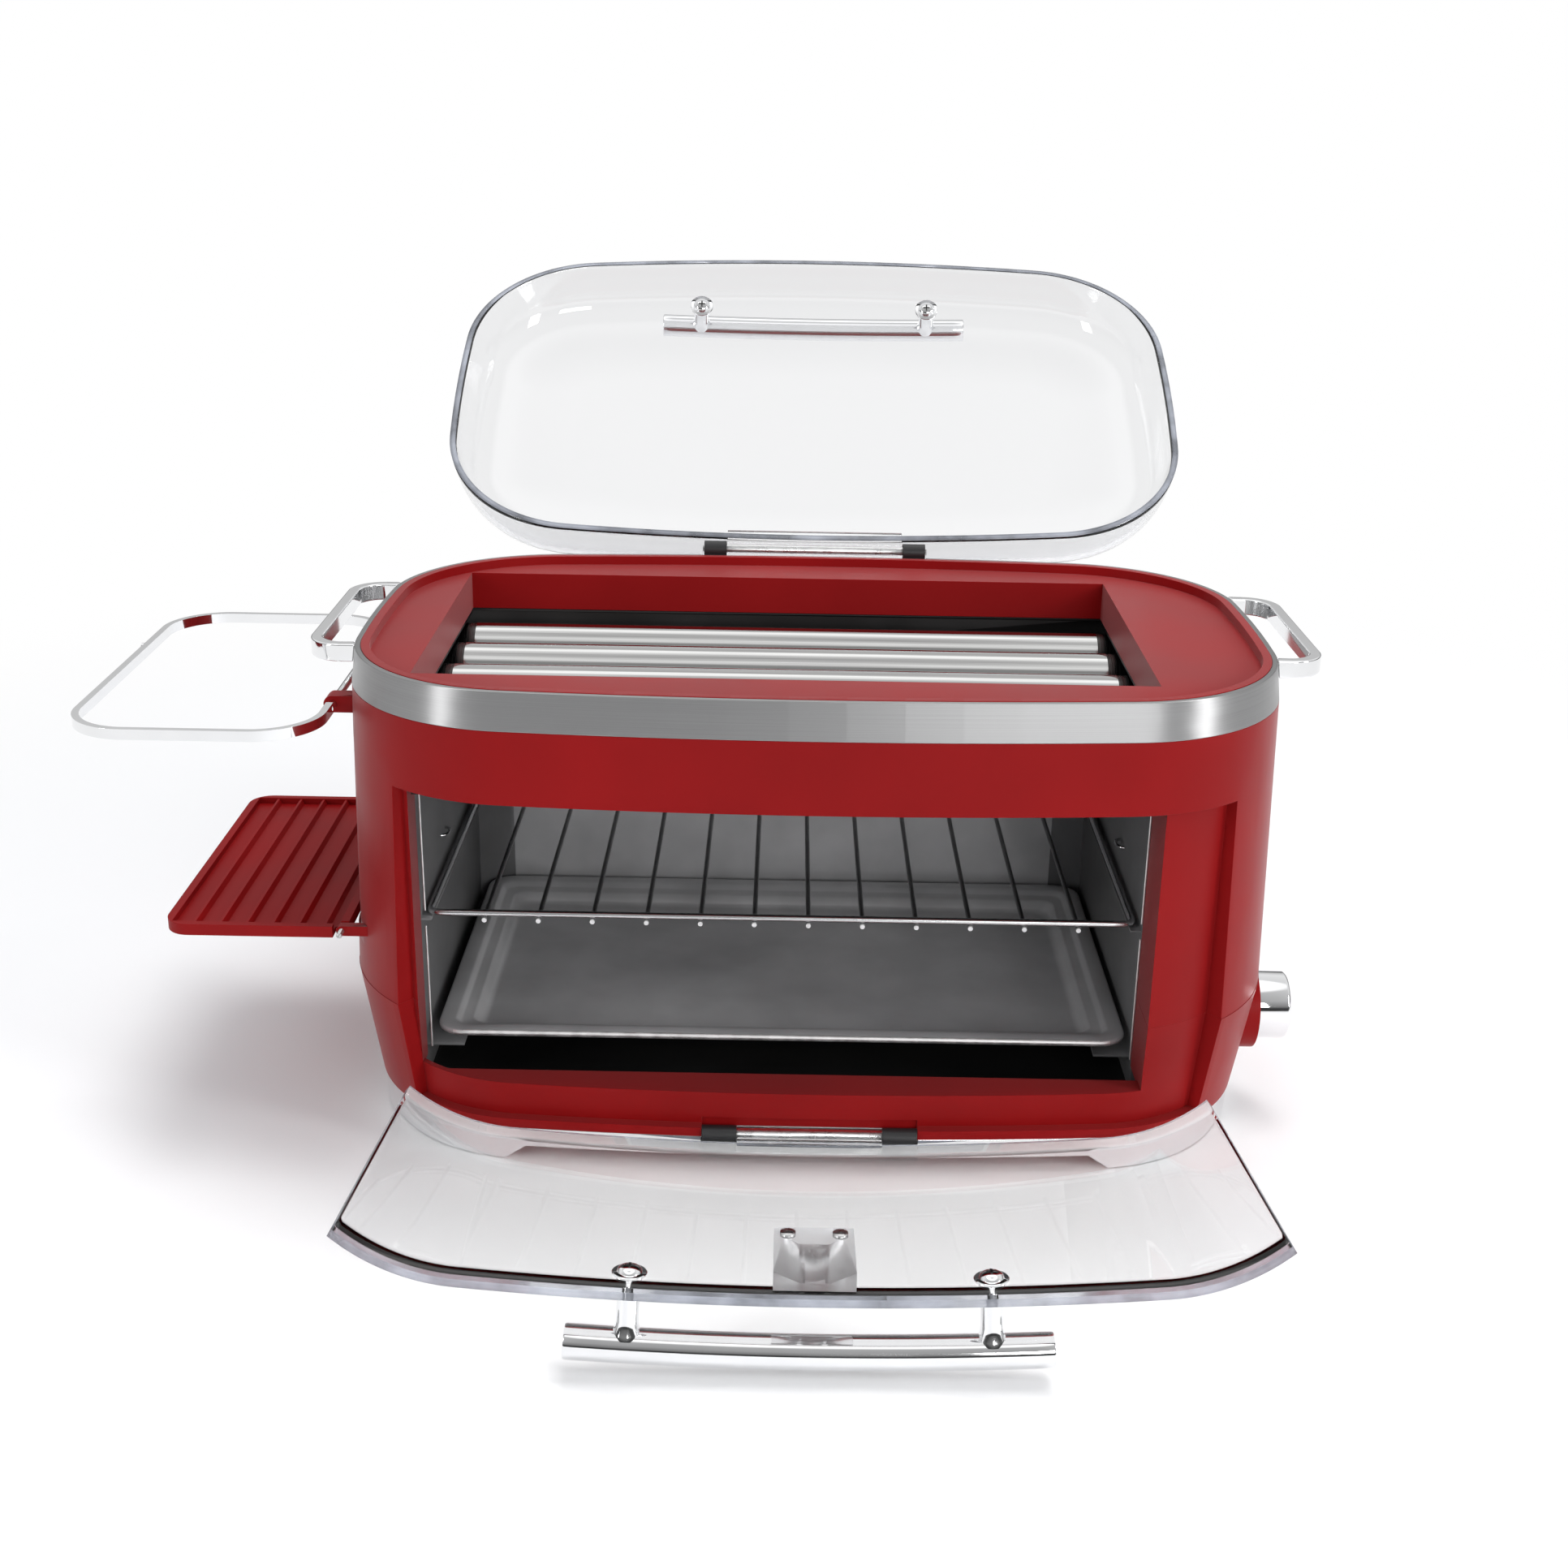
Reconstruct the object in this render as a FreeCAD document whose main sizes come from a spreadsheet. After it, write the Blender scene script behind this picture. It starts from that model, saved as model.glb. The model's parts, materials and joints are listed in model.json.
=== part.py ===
import FreeCAD
import Part
import math
import os
import Sketcher
from FreeCAD import Placement, Rotation, Vector

# Countertop hot dog maker. Millimetres, X to the right, Y to the back, Z up.
# The origin is on the worktop under the middle of the body.

os.makedirs("parts", exist_ok=True)
doc = FreeCAD.newDocument("hot_dog_maker")
sheet = doc.addObject("Spreadsheet::Sheet", "Sizes")

SIZES = [
    # Plan outline of the red rim: eight tangent arcs, its length from the roller well
    ("deck_end", 39.6),
    ("rim_half_depth", 112.8),
    ("front_arc_radius", 1432.0),
    ("end_arc_radius", 790.0),
    ("corner_arc_radius", 72.3),
    # Heights of the body, from the worktop
    ("ring_height", 18.0),
    ("seam_height", 67.6),
    ("band_bottom", 193.5),
    ("rim_top", 209.2),
    ("rim_width", 3.7),
    ("deck_drop", 4.0),
    # How far each outline stands outside the rim outline
    ("ring_foot_offset", -1.0),
    ("ring_top_offset", 0.2),
    ("casing_foot_offset", 0.7),
    ("seam_offset", 8.5),
    ("casing_top_offset", 4.35),
    ("band_bottom_offset", 4.4),
    ("band_top_offset", 2.3),
    ("casing_wall", 2.5),
    ("ring_wall", 3.5),
    ("band_wall", 1.2),
    ("small_gap", 0.2),
    # Base
    ("arch_end", 71.6),
    ("arch_run", 9.0),
    ("arch_height", 6.5),
    ("flange_width", 14.0),
    ("plate_thickness", 2.5),
    ("screw_radius", 1.5),
    ("screw_head_radius", 3.2),
    ("screw_head_height", 2.0),
    # Door recess and window
    ("recess_margin", 4.5),
    ("recess_top", 163.5),
    ("recess_offset", 0.5),
    ("recess_draft", 5.0),
    ("recess_lip", 4.0),
    ("window_margin_left", 0.6),
    ("window_margin_right", 0.9),
    ("window_sill", 37.0),
    ("sill_depth_y", -93.0),
    ("jamb_back_y", -76.0),
    # Folding shelf pocket in the left end
    ("pocket_offset", 1.4),
    ("pocket_bottom", 85.0),
    ("pocket_flat_top", 170.0),
    ("pocket_top", 180.0),
    # Roller well
    ("well_length", 300.0),
    ("well_depth", 160.5),
    ("well_centre_x", -12.4),
    ("well_centre_y", 4.8),
    ("well_wall_bottom", 188.0),
    ("liner_bottom", 156.0),
    ("liner_margin_x", 9.6),
    ("liner_margin_y", 7.0),
    ("sheet_metal", 1.0),
    # Rollers and their drive
    ("roller_radius", 12.5),
    ("roller_wall", 1.2),
    ("roller_overhang", 8.0),
    ("roller_axis_z", 173.0),
    ("roller_front_y", -64.7),
    ("shaft_radius", 4.0),
    ("shaft_bore", 1.6),
    ("running_gap", 0.05),
    ("bearing_plate", 2.0),
    ("bearing_inset", 2.6),
    ("bush_radius", 6.0),
    ("gear_module", 1.0),
    ("roller_teeth", 22),
    ("idler_teeth", 11),
    ("pinion_teeth", 12),
    ("gear_width", 8.0),
    ("gear_stand_off", 2.0),
    ("idler_pin_radius", 2.0),
    ("motor_radius", 24.0),
    ("motor_length", 20.0),
    # Oven
    ("oven_margin_left", 1.0),
    ("oven_margin_right", 0.5),
    ("oven_front", -75.5),
    ("oven_back", 97.0),
    ("oven_floor_z", 22.0),
    ("oven_flange", 6.0),
    ("heater_radius", 3.25),
    ("lower_heater_z", 28.5),
    ("upper_heater_z", 149.0),
    ("heater_front_y", -35.0),
    ("heater_back_y", 45.0),
    ("rack_z", 98.0),
    ("rack_frame_radius", 1.7),
    ("rack_rod_radius", 1.3),
    ("rack_front_y", -69.0),
    ("rack_back_y", 80.0),
    ("rack_side_gap", 3.5),
    ("rod_edge", 27.2),
    ("rod_count", 12),
    ("runner_width", 16.0),
    ("tray_bottom", 37.6),
    ("tray_top", 46.5),
    ("tray_gap_left", 4.7),
    ("tray_gap_right", 2.6),
    ("tray_front_y", -77.0),
    ("tray_back_y", 92.0),
    ("tray_inset", 9.0),
    ("tray_corner", 12.0),
    # Lid
    ("lid_offset", -1.8),
    ("lid_wall", 3.0),
    ("lid_seat_gap", 0.3),
    ("lid_hinge_offset", 3.8),
    ("lid_hinge_z", 211.2),
    ("lid_open_angle", 149.0),
    ("lid_barrel_radius", 3.4),
    ("lid_knuckle_radius", 4.0),
    ("lid_bracket_left", -42.2),
    ("lid_bracket_right", 43.5),
    ("knuckle_width", 10.8),
    ("pin_radius", 1.5),
    # Door
    ("door_offset", 4.0),
    ("door_wall", 3.0),
    ("door_side_gap", 1.5),
    ("door_bottom", 21.5),
    ("door_top", 163.0),
    ("door_hinge_inset", 1.8),
    ("door_hinge_z", 18.5),
    ("door_open_angle", 81.0),
    ("door_barrel_radius", 3.6),
    ("door_barrel_left", -29.3),
    ("door_barrel_right", 30.8),
    ("door_knuckle_width", 14.3),
    ("latch_width", 29.0),
    ("latch_height", 37.0),
    ("latch_depth", 7.0),
    ("latch_bottom", 120.0),
    ("latch_centre_x", 1.4),
    # Bar handles of the lid and the door
    ("bar_radius", 6.4),
    ("bar_half_length", 86.8),
    ("bar_arc_radius", 1430.0),
    ("bar_stand_off", 24.0),
    ("post_radius", 4.0),
    ("post_flare_radius", 5.6),
    ("post_half_spacing", 64.8),
    ("handle_screw_radius", 2.0),
    ("handle_screw_head", 6.3),
    ("door_handle_z", 148.5),
    ("lid_handle_s", 100.0),
    ("lid_handle_rise", 25.2),
    ("lid_handle_tilt", 65.0),
    # Side handles
    ("grip_length", 20.9),
    ("grip_half_width", 51.0),
    ("grip_section", 5.0),
    ("grip_height", 7.4),
    ("grip_corner", 15.0),
    # Ring frame and folding shelf on the left
    ("ring_z", 181.0),
    ("ring_pivot_offset", 10.9),
    ("ring_reach", 103.5),
    ("ring_half_width", 87.0),
    ("ring_corner", 27.0),
    ("ring_strip_width", 3.0),
    ("ring_strip_height", 4.4),
    ("ring_pin_radius", 1.8),
    ("ear_y", 40.0),
    ("ear_width", 8.0),
    ("shelf_pivot_offset", 3.5),
    ("shelf_pivot_z", 91.0),
    ("shelf_reach", 77.5),
    ("shelf_half_width", 76.0),
    ("shelf_thickness", 5.0),
    ("shelf_floor", 2.2),
    ("shelf_rim", 3.5),
    ("rib_pitch", 11.0),
    ("rib_foot", 3.6),
    ("rib_crest", 1.0),
    ("shelf_pin_radius", 1.2),
    # Control knob
    ("knob_y", -42.0),
    ("knob_z", 48.5),
    ("knob_radius", 15.75),
    ("knob_length", 12.0),
    ("knob_offset", 9.4),
    ("boss_radius", 19.0),
    ("spindle_radius", 3.0),
    # Mains inlet
    ("inlet_end", 89.6),
    ("inlet_z", 45.0),
    ("inlet_radius", 7.0),
]

for row, (name, value) in enumerate(SIZES, start=1):
    sheet.set("A%d" % row, name)
    sheet.set("B%d" % row, str(value))
    sheet.setAlias("B%d" % row, name)
doc.recompute()

v = {name: float(getattr(sheet, name)) for name, value in SIZES}

# Lengths that follow the roller well
well_x0 = v["well_centre_x"] - v["well_length"] / 2
well_x1 = v["well_centre_x"] + v["well_length"] / 2
v["rim_half_length"] = v["well_length"] / 2 + v["deck_end"]
v["arch_half_width"] = v["rim_half_length"] - v["arch_end"]
v["roller_half_length"] = v["well_length"] / 2 + v["roller_overhang"]
v["window_left"] = well_x0 - v["window_margin_left"]
v["window_right"] = well_x1 + v["window_margin_right"]
v["recess_half_width"] = -v["window_left"] + v["recess_margin"]
v["door_half_width"] = v["recess_half_width"] - v["door_side_gap"]
v["oven_left"] = v["window_left"] - v["oven_margin_left"]
v["oven_right"] = v["window_right"] + v["oven_margin_right"]
v["tray_left"] = v["oven_left"] + v["tray_gap_left"]
v["tray_right"] = v["oven_right"] - v["tray_gap_right"]
v["rod_pitch"] = (v["oven_right"] - v["oven_left"] - 2 * v["rod_edge"]) / (v["rod_count"] - 1)
v["pocket_x"] = v["rim_half_length"] + v["pocket_offset"]
v["shelf_pivot_x"] = -v["pocket_x"] - v["shelf_pivot_offset"]
v["shelf_outer_x"] = v["shelf_pivot_x"] - v["shelf_reach"]
v["ring_pivot_x"] = -v["rim_half_length"] - v["ring_pivot_offset"]
v["ring_outer_x"] = v["ring_pivot_x"] - v["ring_reach"]
v["grip_reach"] = v["rim_half_length"] + v["grip_length"]
v["knob_x"] = v["rim_half_length"] + v["knob_offset"]
v["inlet_x"] = v["rim_half_length"] - v["inlet_end"]
v["lid_hinge_y"] = v["rim_half_depth"] + v["lid_hinge_offset"]
v["door_hinge_y"] = v["door_hinge_inset"] - v["rim_half_depth"]

nodes = []


def keep(obj, label):
    """Give a finished piece its name and put it on the list of nodes."""
    obj.Label = label
    nodes.append(obj)
    return obj


def feature(label, shape, placement=None):
    """A piece whose curved outline is worked out from the sheet's values."""
    obj = doc.addObject("Part::Feature", label)
    obj.Shape = shape
    if placement is not None:
        obj.Placement = placement
    return keep(obj, label)


def cells(text):
    """Write the sheet's name in front of every alias in an expression."""
    out = ""
    word = ""
    for char in text + " ":
        if char.isalnum() or char == "_":
            word += char
            continue
        out += "Sizes." + word if word in v else word
        out += char
        word = ""
    return out.strip()


def number(text):
    """The value of an expression that is written with the sheet's aliases."""
    probe = sheet.evalExpression(cells(text))
    return float(getattr(probe, "Value", probe))


# Outline of the body


def corner_centre():
    """Centre of the corner arc that joins the front arc and the end arc."""
    front = Vector(0, v["front_arc_radius"] - v["rim_half_depth"], 0)
    end = Vector(v["rim_half_length"] - v["end_arc_radius"], 0, 0)
    gap = end - front
    near = v["front_arc_radius"] - v["corner_arc_radius"]
    far = v["end_arc_radius"] - v["corner_arc_radius"]
    along = (near ** 2 - far ** 2 + gap.Length ** 2) / (2 * gap.Length)
    across = math.sqrt(near ** 2 - along ** 2)
    unit = gap * (1 / gap.Length)
    side = Vector(unit.y, -unit.x, 0)
    centres = [front + unit * along + side * s * across for s in (1, -1)]
    return min(centres, key=lambda c: c.y), front, end


CORNER, FRONT_CENTRE, END_CENTRE = corner_centre()


def arc_about(centre, radius, start, stop, z):
    """Edge of a circle about centre, from one angle to another."""
    def at(angle):
        return Vector(centre.x + radius * math.cos(angle), centre.y + radius * math.sin(angle), z)
    return Part.Arc(at(start), at((start + stop) / 2), at(stop)).toShape()


def outline(offset, z=0.0):
    """Closed wire of eight tangent arcs, offset from the rim outline."""
    toward = CORNER - FRONT_CENTRE
    front_angle = math.atan2(toward.y, toward.x)
    toward = CORNER - END_CENTRE
    end_angle = math.atan2(toward.y, toward.x)
    corners = [CORNER, Vector(CORNER.x, -CORNER.y, 0),
               Vector(-CORNER.x, -CORNER.y, 0), Vector(-CORNER.x, CORNER.y, 0)]
    front_r = v["front_arc_radius"] + offset
    end_r = v["end_arc_radius"] + offset
    corner_r = v["corner_arc_radius"] + offset
    back = Vector(0, -FRONT_CENTRE.y, 0)
    left = Vector(-END_CENTRE.x, 0, 0)
    half = math.pi
    edges = [
        arc_about(FRONT_CENTRE, front_r, -half - front_angle, front_angle, z),
        arc_about(corners[0], corner_r, front_angle, end_angle, z),
        arc_about(END_CENTRE, end_r, end_angle, -end_angle, z),
        arc_about(corners[1], corner_r, -end_angle, -front_angle, z),
        arc_about(back, front_r, -front_angle, half + front_angle, z),
        arc_about(corners[2], corner_r, half + front_angle, half + end_angle, z),
        arc_about(left, end_r, half + end_angle, half - end_angle, z),
        arc_about(corners[3], corner_r, half - end_angle, half - front_angle, z),
    ]
    return Part.Wire(edges)


def oval_prism(offset, z_low, z_high):
    """Upright solid of the body's outline."""
    return Part.Face(outline(offset, z_low)).extrude(Vector(0, 0, z_high - z_low))


def oval_loft(levels, smooth=False):
    """Solid through outlines given as (height, offset) pairs."""
    return Part.makeLoft([outline(offset, z) for z, offset in levels], True, not smooth)


def block(x0, x1, y0, y1, z0, z1):
    """Box between two corners."""
    return Part.makeBox(x1 - x0, y1 - y0, z1 - z0, Vector(x0, y0, z0))


def rod_x(x0, x1, y, z, radius):
    return Part.makeCylinder(radius, x1 - x0, Vector(x0, y, z), Vector(1, 0, 0))


def rod_y(y0, y1, x, z, radius):
    return Part.makeCylinder(radius, y1 - y0, Vector(x, y0, z), Vector(0, 1, 0))


def rod_z(z0, z1, x, y, radius):
    return Part.makeCylinder(radius, z1 - z0, Vector(x, y, z0))


def union(shapes):
    """One solid from overlapping shapes."""
    return shapes[0].multiFuse(shapes[1:]).removeSplitter()


def offset_line(levels, z):
    """Offset of a straight taper between two (height, offset) pairs."""
    (z0, o0), (z1, o1) = levels
    return o0 + (o1 - o0) * (z - z0) / (z1 - z0)


def front_sector(half_width, z0, z1):
    """Region in front of the body whose sides run square to its surface."""
    reach = v["corner_arc_radius"] + v["door_offset"]
    angle = math.acos((half_width - CORNER.x) / reach)
    far = 3 * v["rim_half_depth"]
    tip = Vector(CORNER.x + far * math.cos(angle), CORNER.y - far * math.sin(angle), z0)
    points = [Vector(CORNER.x, CORNER.y, z0), Vector(-CORNER.x, CORNER.y, z0),
              Vector(-tip.x, tip.y, z0), tip, Vector(CORNER.x, CORNER.y, z0)]
    return Part.Face(Part.makePolygon(points)).extrude(Vector(0, 0, z1 - z0))


def screw_places():
    """Middles of the body screws: the four corners and the two ends."""
    depth = v["corner_arc_radius"] + ring_inside - v["screw_head_radius"] - 4 * v["small_gap"]
    reach = depth * math.sqrt(0.5)
    places = [(sx * (CORNER.x + reach), sy * (-CORNER.y + reach)) for sx in (-1, 1) for sy in (-1, 1)]
    end = v["rim_half_length"] - v["corner_arc_radius"] + depth
    return places + [(-end, 0.0), (end, 0.0)]


# Base ring and bottom plate

TALL = 2 * v["rim_top"]
ring_taper = [(0.0, v["ring_foot_offset"]), (v["ring_height"], v["ring_top_offset"])]
ring_inside = v["ring_foot_offset"] - v["ring_wall"]
plate_bottom = v["ring_height"] - v["plate_thickness"]
hinge_gap = v["small_gap"]
knuckle_left = v["door_barrel_left"] - hinge_gap - v["door_knuckle_width"]
knuckle_right = v["door_barrel_right"] + hinge_gap + v["door_knuckle_width"]
seat_z = v["door_hinge_z"] - v["door_barrel_radius"] - hinge_gap
notch_back = v["door_hinge_y"] + v["door_barrel_radius"] + hinge_gap
notch_top = v["door_bottom"] + v["door_wall"] + 2 * hinge_gap
leaf_reach = v["rim_half_depth"] + v["door_offset"] + v["door_hinge_y"]


def door_hinge_notch():
    """Space that the door's hinge takes out of the ring and the casing."""
    far = -v["rim_half_depth"] - v["corner_arc_radius"]
    wide = block(knuckle_left - hinge_gap, knuckle_right + hinge_gap, far, notch_back, seat_z, notch_top)
    swing = v["door_hinge_z"] - leaf_reach - 3 * hinge_gap
    deep = block(v["door_barrel_left"] - hinge_gap, v["door_barrel_right"] + hinge_gap,
                 far, notch_back, swing, notch_top)
    return wide.fuse(deep)


def base_ring():
    shape = oval_loft(ring_taper).cut(oval_prism(ring_inside, -1, v["ring_height"] + 1))
    inner = v["arch_half_width"]
    outer = inner + v["arch_run"]
    y_back = -v["rim_half_depth"] / 2
    points = [Vector(-outer, y_back, -1), Vector(-outer, y_back, 0), Vector(-inner, y_back, v["arch_height"]),
              Vector(inner, y_back, v["arch_height"]), Vector(outer, y_back, 0), Vector(outer, y_back, -1)]
    arch = Part.Face(Part.makePolygon(points + points[:1])).extrude(Vector(0, -v["rim_half_depth"], 0))
    return shape.cut(arch).cut(door_hinge_notch())


def bottom_plate():
    shape = oval_prism(ring_inside - v["small_gap"], plate_bottom, v["ring_height"])
    for x, y in screw_places():
        shape = shape.cut(rod_z(0, TALL, x, y, v["screw_radius"] + v["running_gap"]))
    return shape.cut(door_hinge_notch())


def body_screws():
    solids = []
    for x, y in screw_places():
        head = rod_z(plate_bottom - v["screw_head_height"], plate_bottom, x, y, v["screw_head_radius"])
        shank_top = v["ring_height"] + v["casing_wall"]
        shank = rod_z(plate_bottom - 1, shank_top, x, y, v["screw_radius"])
        solids.append(head.fuse(shank).removeSplitter())
    return Part.makeCompound(solids)


# Casing halves

lower_taper = [(v["ring_height"], v["casing_foot_offset"]), (v["seam_height"], v["seam_offset"])]
upper_taper = [(v["seam_height"], v["seam_offset"] - v["small_gap"]), (v["band_bottom"], v["casing_top_offset"])]


def recess_face(inset, z0, z1):
    """Solid behind the recess's face, which draws in from the seam to the base."""
    face = v["recess_offset"] - inset
    if z0 >= v["seam_height"]:
        return oval_prism(face, z0 - 2, z1 + 2)
    draft = v["recess_draft"] / (v["seam_height"] - v["ring_height"])
    return oval_loft([(z, face - draft * (v["seam_height"] - z)) for z in (z0 - 2, z1 + 2)])


def recess(z0, z1, outer):
    """Stepped-back wall behind the door, to add to a casing, and the space to cut from it."""
    wall = v["casing_wall"]
    top = v["recess_top"]
    back = recess_face(wall, z0, z1)
    added = front_sector(v["recess_half_width"] + wall, z0, min(z1, top + wall)).common(outer).cut(back)
    space = front_sector(v["recess_half_width"], z0 - 1, min(z1 + 1, top))
    space = space.cut(oval_prism(v["recess_offset"], z0 - 2, z1 + 2))
    return added, space


def window_walls(z0, z1, sill=False, head=False):
    """Walls that run back from the window's edge to the oven."""
    wall = v["casing_wall"]
    left = v["window_left"]
    right = v["window_right"]
    far = -2 * v["rim_half_depth"]
    back = v["jamb_back_y"]
    parts = [block(right, right + wall, far, back, z0, z1), block(left - wall, left, far, back, z0, z1)]
    if sill:
        parts.append(block(left - wall, right + wall, far, v["sill_depth_y"], z0, z0 + wall))
    if head:
        parts.append(block(left - wall, right + wall, far, back, z1 - wall, z1))
    face = oval_prism(v["recess_offset"] - wall / 2, z0 - 1, z1 + 1)
    return [part.common(face) for part in parts]


def window_space():
    far = -2 * v["rim_half_depth"]
    return block(v["window_left"], v["window_right"], far, v["jamb_back_y"], v["window_sill"], v["recess_top"])


def lower_casing():
    wall = v["casing_wall"]
    z0 = v["ring_height"]
    z1 = v["seam_height"]
    outer = oval_loft(lower_taper)
    inner = oval_loft([(z0, v["casing_foot_offset"] - wall), (z1, v["seam_offset"] - wall)])
    inner = inner.common(oval_prism(2 * v["seam_offset"], z0 + wall, z1 + 1))
    shape = outer.cut(inner).cut(oval_prism(v["casing_foot_offset"] - v["flange_width"], 0, z1))
    added, space = recess(z0, z1, outer)
    sill_low = v["window_sill"] - wall
    shape = union([shape, added] + window_walls(sill_low, z1, sill=True))
    end_x = v["rim_half_length"] + v["seam_offset"]
    boss = rod_x(end_x - 4 * wall, v["knob_x"] - 2 * v["pin_radius"], v["knob_y"], v["knob_z"], v["boss_radius"])
    shape = shape.fuse(boss)
    drawn = front_sector(v["recess_half_width"], z0 + v["recess_lip"], z1 + 1).cut(recess_face(0, z0, z1))
    shape = shape.cut([space, drawn, window_space(), door_hinge_notch(),
                       rod_x(0, TALL, v["knob_y"], v["knob_z"], 2 * v["spindle_radius"] + v["small_gap"]),
                       rod_y(0, TALL, v["inlet_x"], v["inlet_z"], v["inlet_radius"] - 2)])
    for x, y in screw_places():
        shape = shape.cut(rod_z(0, z0 + 2 * wall, x, y, v["screw_radius"] + v["running_gap"]))
    return shape.removeSplitter()


def upper_casing():
    wall = v["casing_wall"]
    z0 = v["seam_height"]
    z1 = v["band_bottom"]
    outer = oval_loft(upper_taper)
    inner = oval_loft([(z, offset - wall) for z, offset in upper_taper])
    added, space = recess(z0, z1, outer)
    pocket_wall = v["pocket_x"] - wall
    pocket_back = outer.common(block(-TALL, -pocket_wall, -TALL, TALL, v["pocket_bottom"] - wall,
                                     v["pocket_top"] + wall))
    shape = union([outer.cut(inner), added, pocket_back] + window_walls(z0, v["recess_top"] + wall, head=True))
    deep = 2 * v["rim_half_depth"]
    ramp_x = v["rim_half_length"] + v["seam_offset"]
    points = [Vector(-v["pocket_x"], -deep, v["pocket_bottom"]), Vector(-v["pocket_x"], -deep, v["pocket_flat_top"]),
              Vector(-ramp_x, -deep, v["pocket_top"] + ramp_x - v["pocket_x"] - wall),
              Vector(-TALL, -deep, v["pocket_top"]), Vector(-TALL, -deep, v["pocket_bottom"])]
    pocket = Part.Face(Part.makePolygon(points + points[:1])).extrude(Vector(0, 2 * deep, 0))
    gap = v["small_gap"]
    liner_room = block(liner_x0 - gap, liner_x1 + gap, liner_y0 - gap, liner_y1 + gap, v["liner_bottom"] - gap, TALL)
    liner_room = liner_room.common(oval_prism(v["sheet_metal"] + gap, 0, TALL))
    return shape.cut([space, window_space(), pocket, liner_room]).removeSplitter()


# Deck and trim band

deck_z = v["rim_top"] - v["deck_drop"]
well_y0 = v["well_centre_y"] - v["well_depth"] / 2
well_y1 = v["well_centre_y"] + v["well_depth"] / 2


def top_deck():
    wall = v["casing_wall"]
    skirt_low = v["band_bottom"] - wall
    shape = oval_prism(0, skirt_low, v["rim_top"])
    shape = shape.cut(oval_prism(-wall, skirt_low - 1, deck_z - wall))
    shape = shape.cut(oval_prism(-v["rim_width"], deck_z, v["rim_top"] + 1))
    lip = oval_prism(v["casing_top_offset"] - v["band_wall"] - 0.6, v["band_bottom"], v["band_bottom"] + 2)
    lip = lip.cut(oval_prism(-wall / 2, v["band_bottom"] - 1, v["rim_top"]))
    frame = block(well_x0 - wall, well_x1 + wall, well_y0 - wall, well_y1 + wall, v["well_wall_bottom"], deck_z)
    hole = block(well_x0, well_x1, well_y0, well_y1, 0, TALL)
    return union([shape, lip, frame]).cut(hole).removeSplitter()


def lid_hinge_notch():
    """Space that the lid's hinge takes out of the band behind the rim."""
    left = v["lid_bracket_left"] - v["knuckle_width"] - 3 * hinge_gap
    right = v["lid_bracket_right"] + v["knuckle_width"] + 3 * hinge_gap
    low = v["lid_hinge_z"] - v["lid_knuckle_radius"] - 2 * v["pin_radius"]
    return block(left, right, v["rim_half_depth"] - 3 * v["band_wall"], TALL, low, TALL)


def trim_band():
    top = v["rim_top"]
    low = v["band_bottom"]
    outer = oval_loft([(low, v["band_bottom_offset"]), (top, v["band_top_offset"])])
    inner_low = v["band_bottom_offset"] - v["band_wall"]
    inner_top = v["band_top_offset"] - v["band_wall"]
    inner = oval_loft([(low, inner_low), (top, inner_top)])
    inner = inner.common(oval_prism(2 * v["seam_offset"], low - 1, top - v["band_wall"]))
    shape = outer.cut(inner).cut(oval_prism(v["small_gap"] / 2, low - 1, top + 1))
    return shape.cut(lid_hinge_notch())


# Well liner, bearings and drive

liner_x0 = well_x0 - v["liner_margin_x"]
liner_x1 = well_x1 + v["liner_margin_x"]
liner_y0 = well_y0 - v["liner_margin_y"]
liner_y1 = well_y1 + v["liner_margin_y"]
plate_top = deck_z - v["casing_wall"] - v["small_gap"]
liner_top = v["well_wall_bottom"] - v["small_gap"]
skirt_gap_z = v["band_bottom"] - v["casing_wall"] - v["small_gap"]
plate_x_left = liner_x0 - v["bearing_inset"] - v["bearing_plate"]
plate_x_right = liner_x1 + v["bearing_inset"]
gear_x = plate_x_right + v["bearing_plate"] + v["gear_stand_off"]
roller_pitch = v["gear_module"] * (v["roller_teeth"] + v["idler_teeth"])
roller_y = [v["roller_front_y"] + k * roller_pitch for k in range(5)]
idler_y = [y + roller_pitch / 2 for y in roller_y[:4]]
pinion_y = roller_y[2]
pinion_z = v["roller_axis_z"] - v["gear_module"] * (v["roller_teeth"] + v["pinion_teeth"]) / 2
shaft_left = plate_x_left - 2
shaft_right = gear_x + v["gear_width"] + 1
motor_x = gear_x + v["gear_width"] + 2


def well_liner():
    t = v["sheet_metal"]
    z0 = v["liner_bottom"]
    shape = block(liner_x0, liner_x1, liner_y0, liner_y1, z0, liner_top).common(oval_prism(t, z0, TALL))
    hollow = block(liner_x0 + t, liner_x1 - t, liner_y0 + t, liner_y1 - t, z0 + t, liner_top - t)
    shape = shape.cut(hollow.common(oval_prism(0, z0, TALL)))
    shape = shape.cut(block(well_x0, well_x1, well_y0, well_y1, z0 + t, TALL))
    for y in roller_y:
        shape = shape.cut(rod_x(-TALL, TALL, y, v["roller_axis_z"], v["shaft_radius"] + 0.5))
    return shape


def bearing_plate_shape(x0, low):
    shape = block(x0, x0 + v["bearing_plate"], liner_y0, liner_y1, low, plate_top)
    room = oval_prism(v["sheet_metal"], 0, skirt_gap_z).fuse(oval_prism(-v["casing_wall"] - 0.5, 1, TALL))
    shape = shape.common(room)
    for y in roller_y:
        shape = shape.cut(rod_x(-TALL, TALL, y, v["roller_axis_z"], v["bush_radius"]))
    return shape


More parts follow.
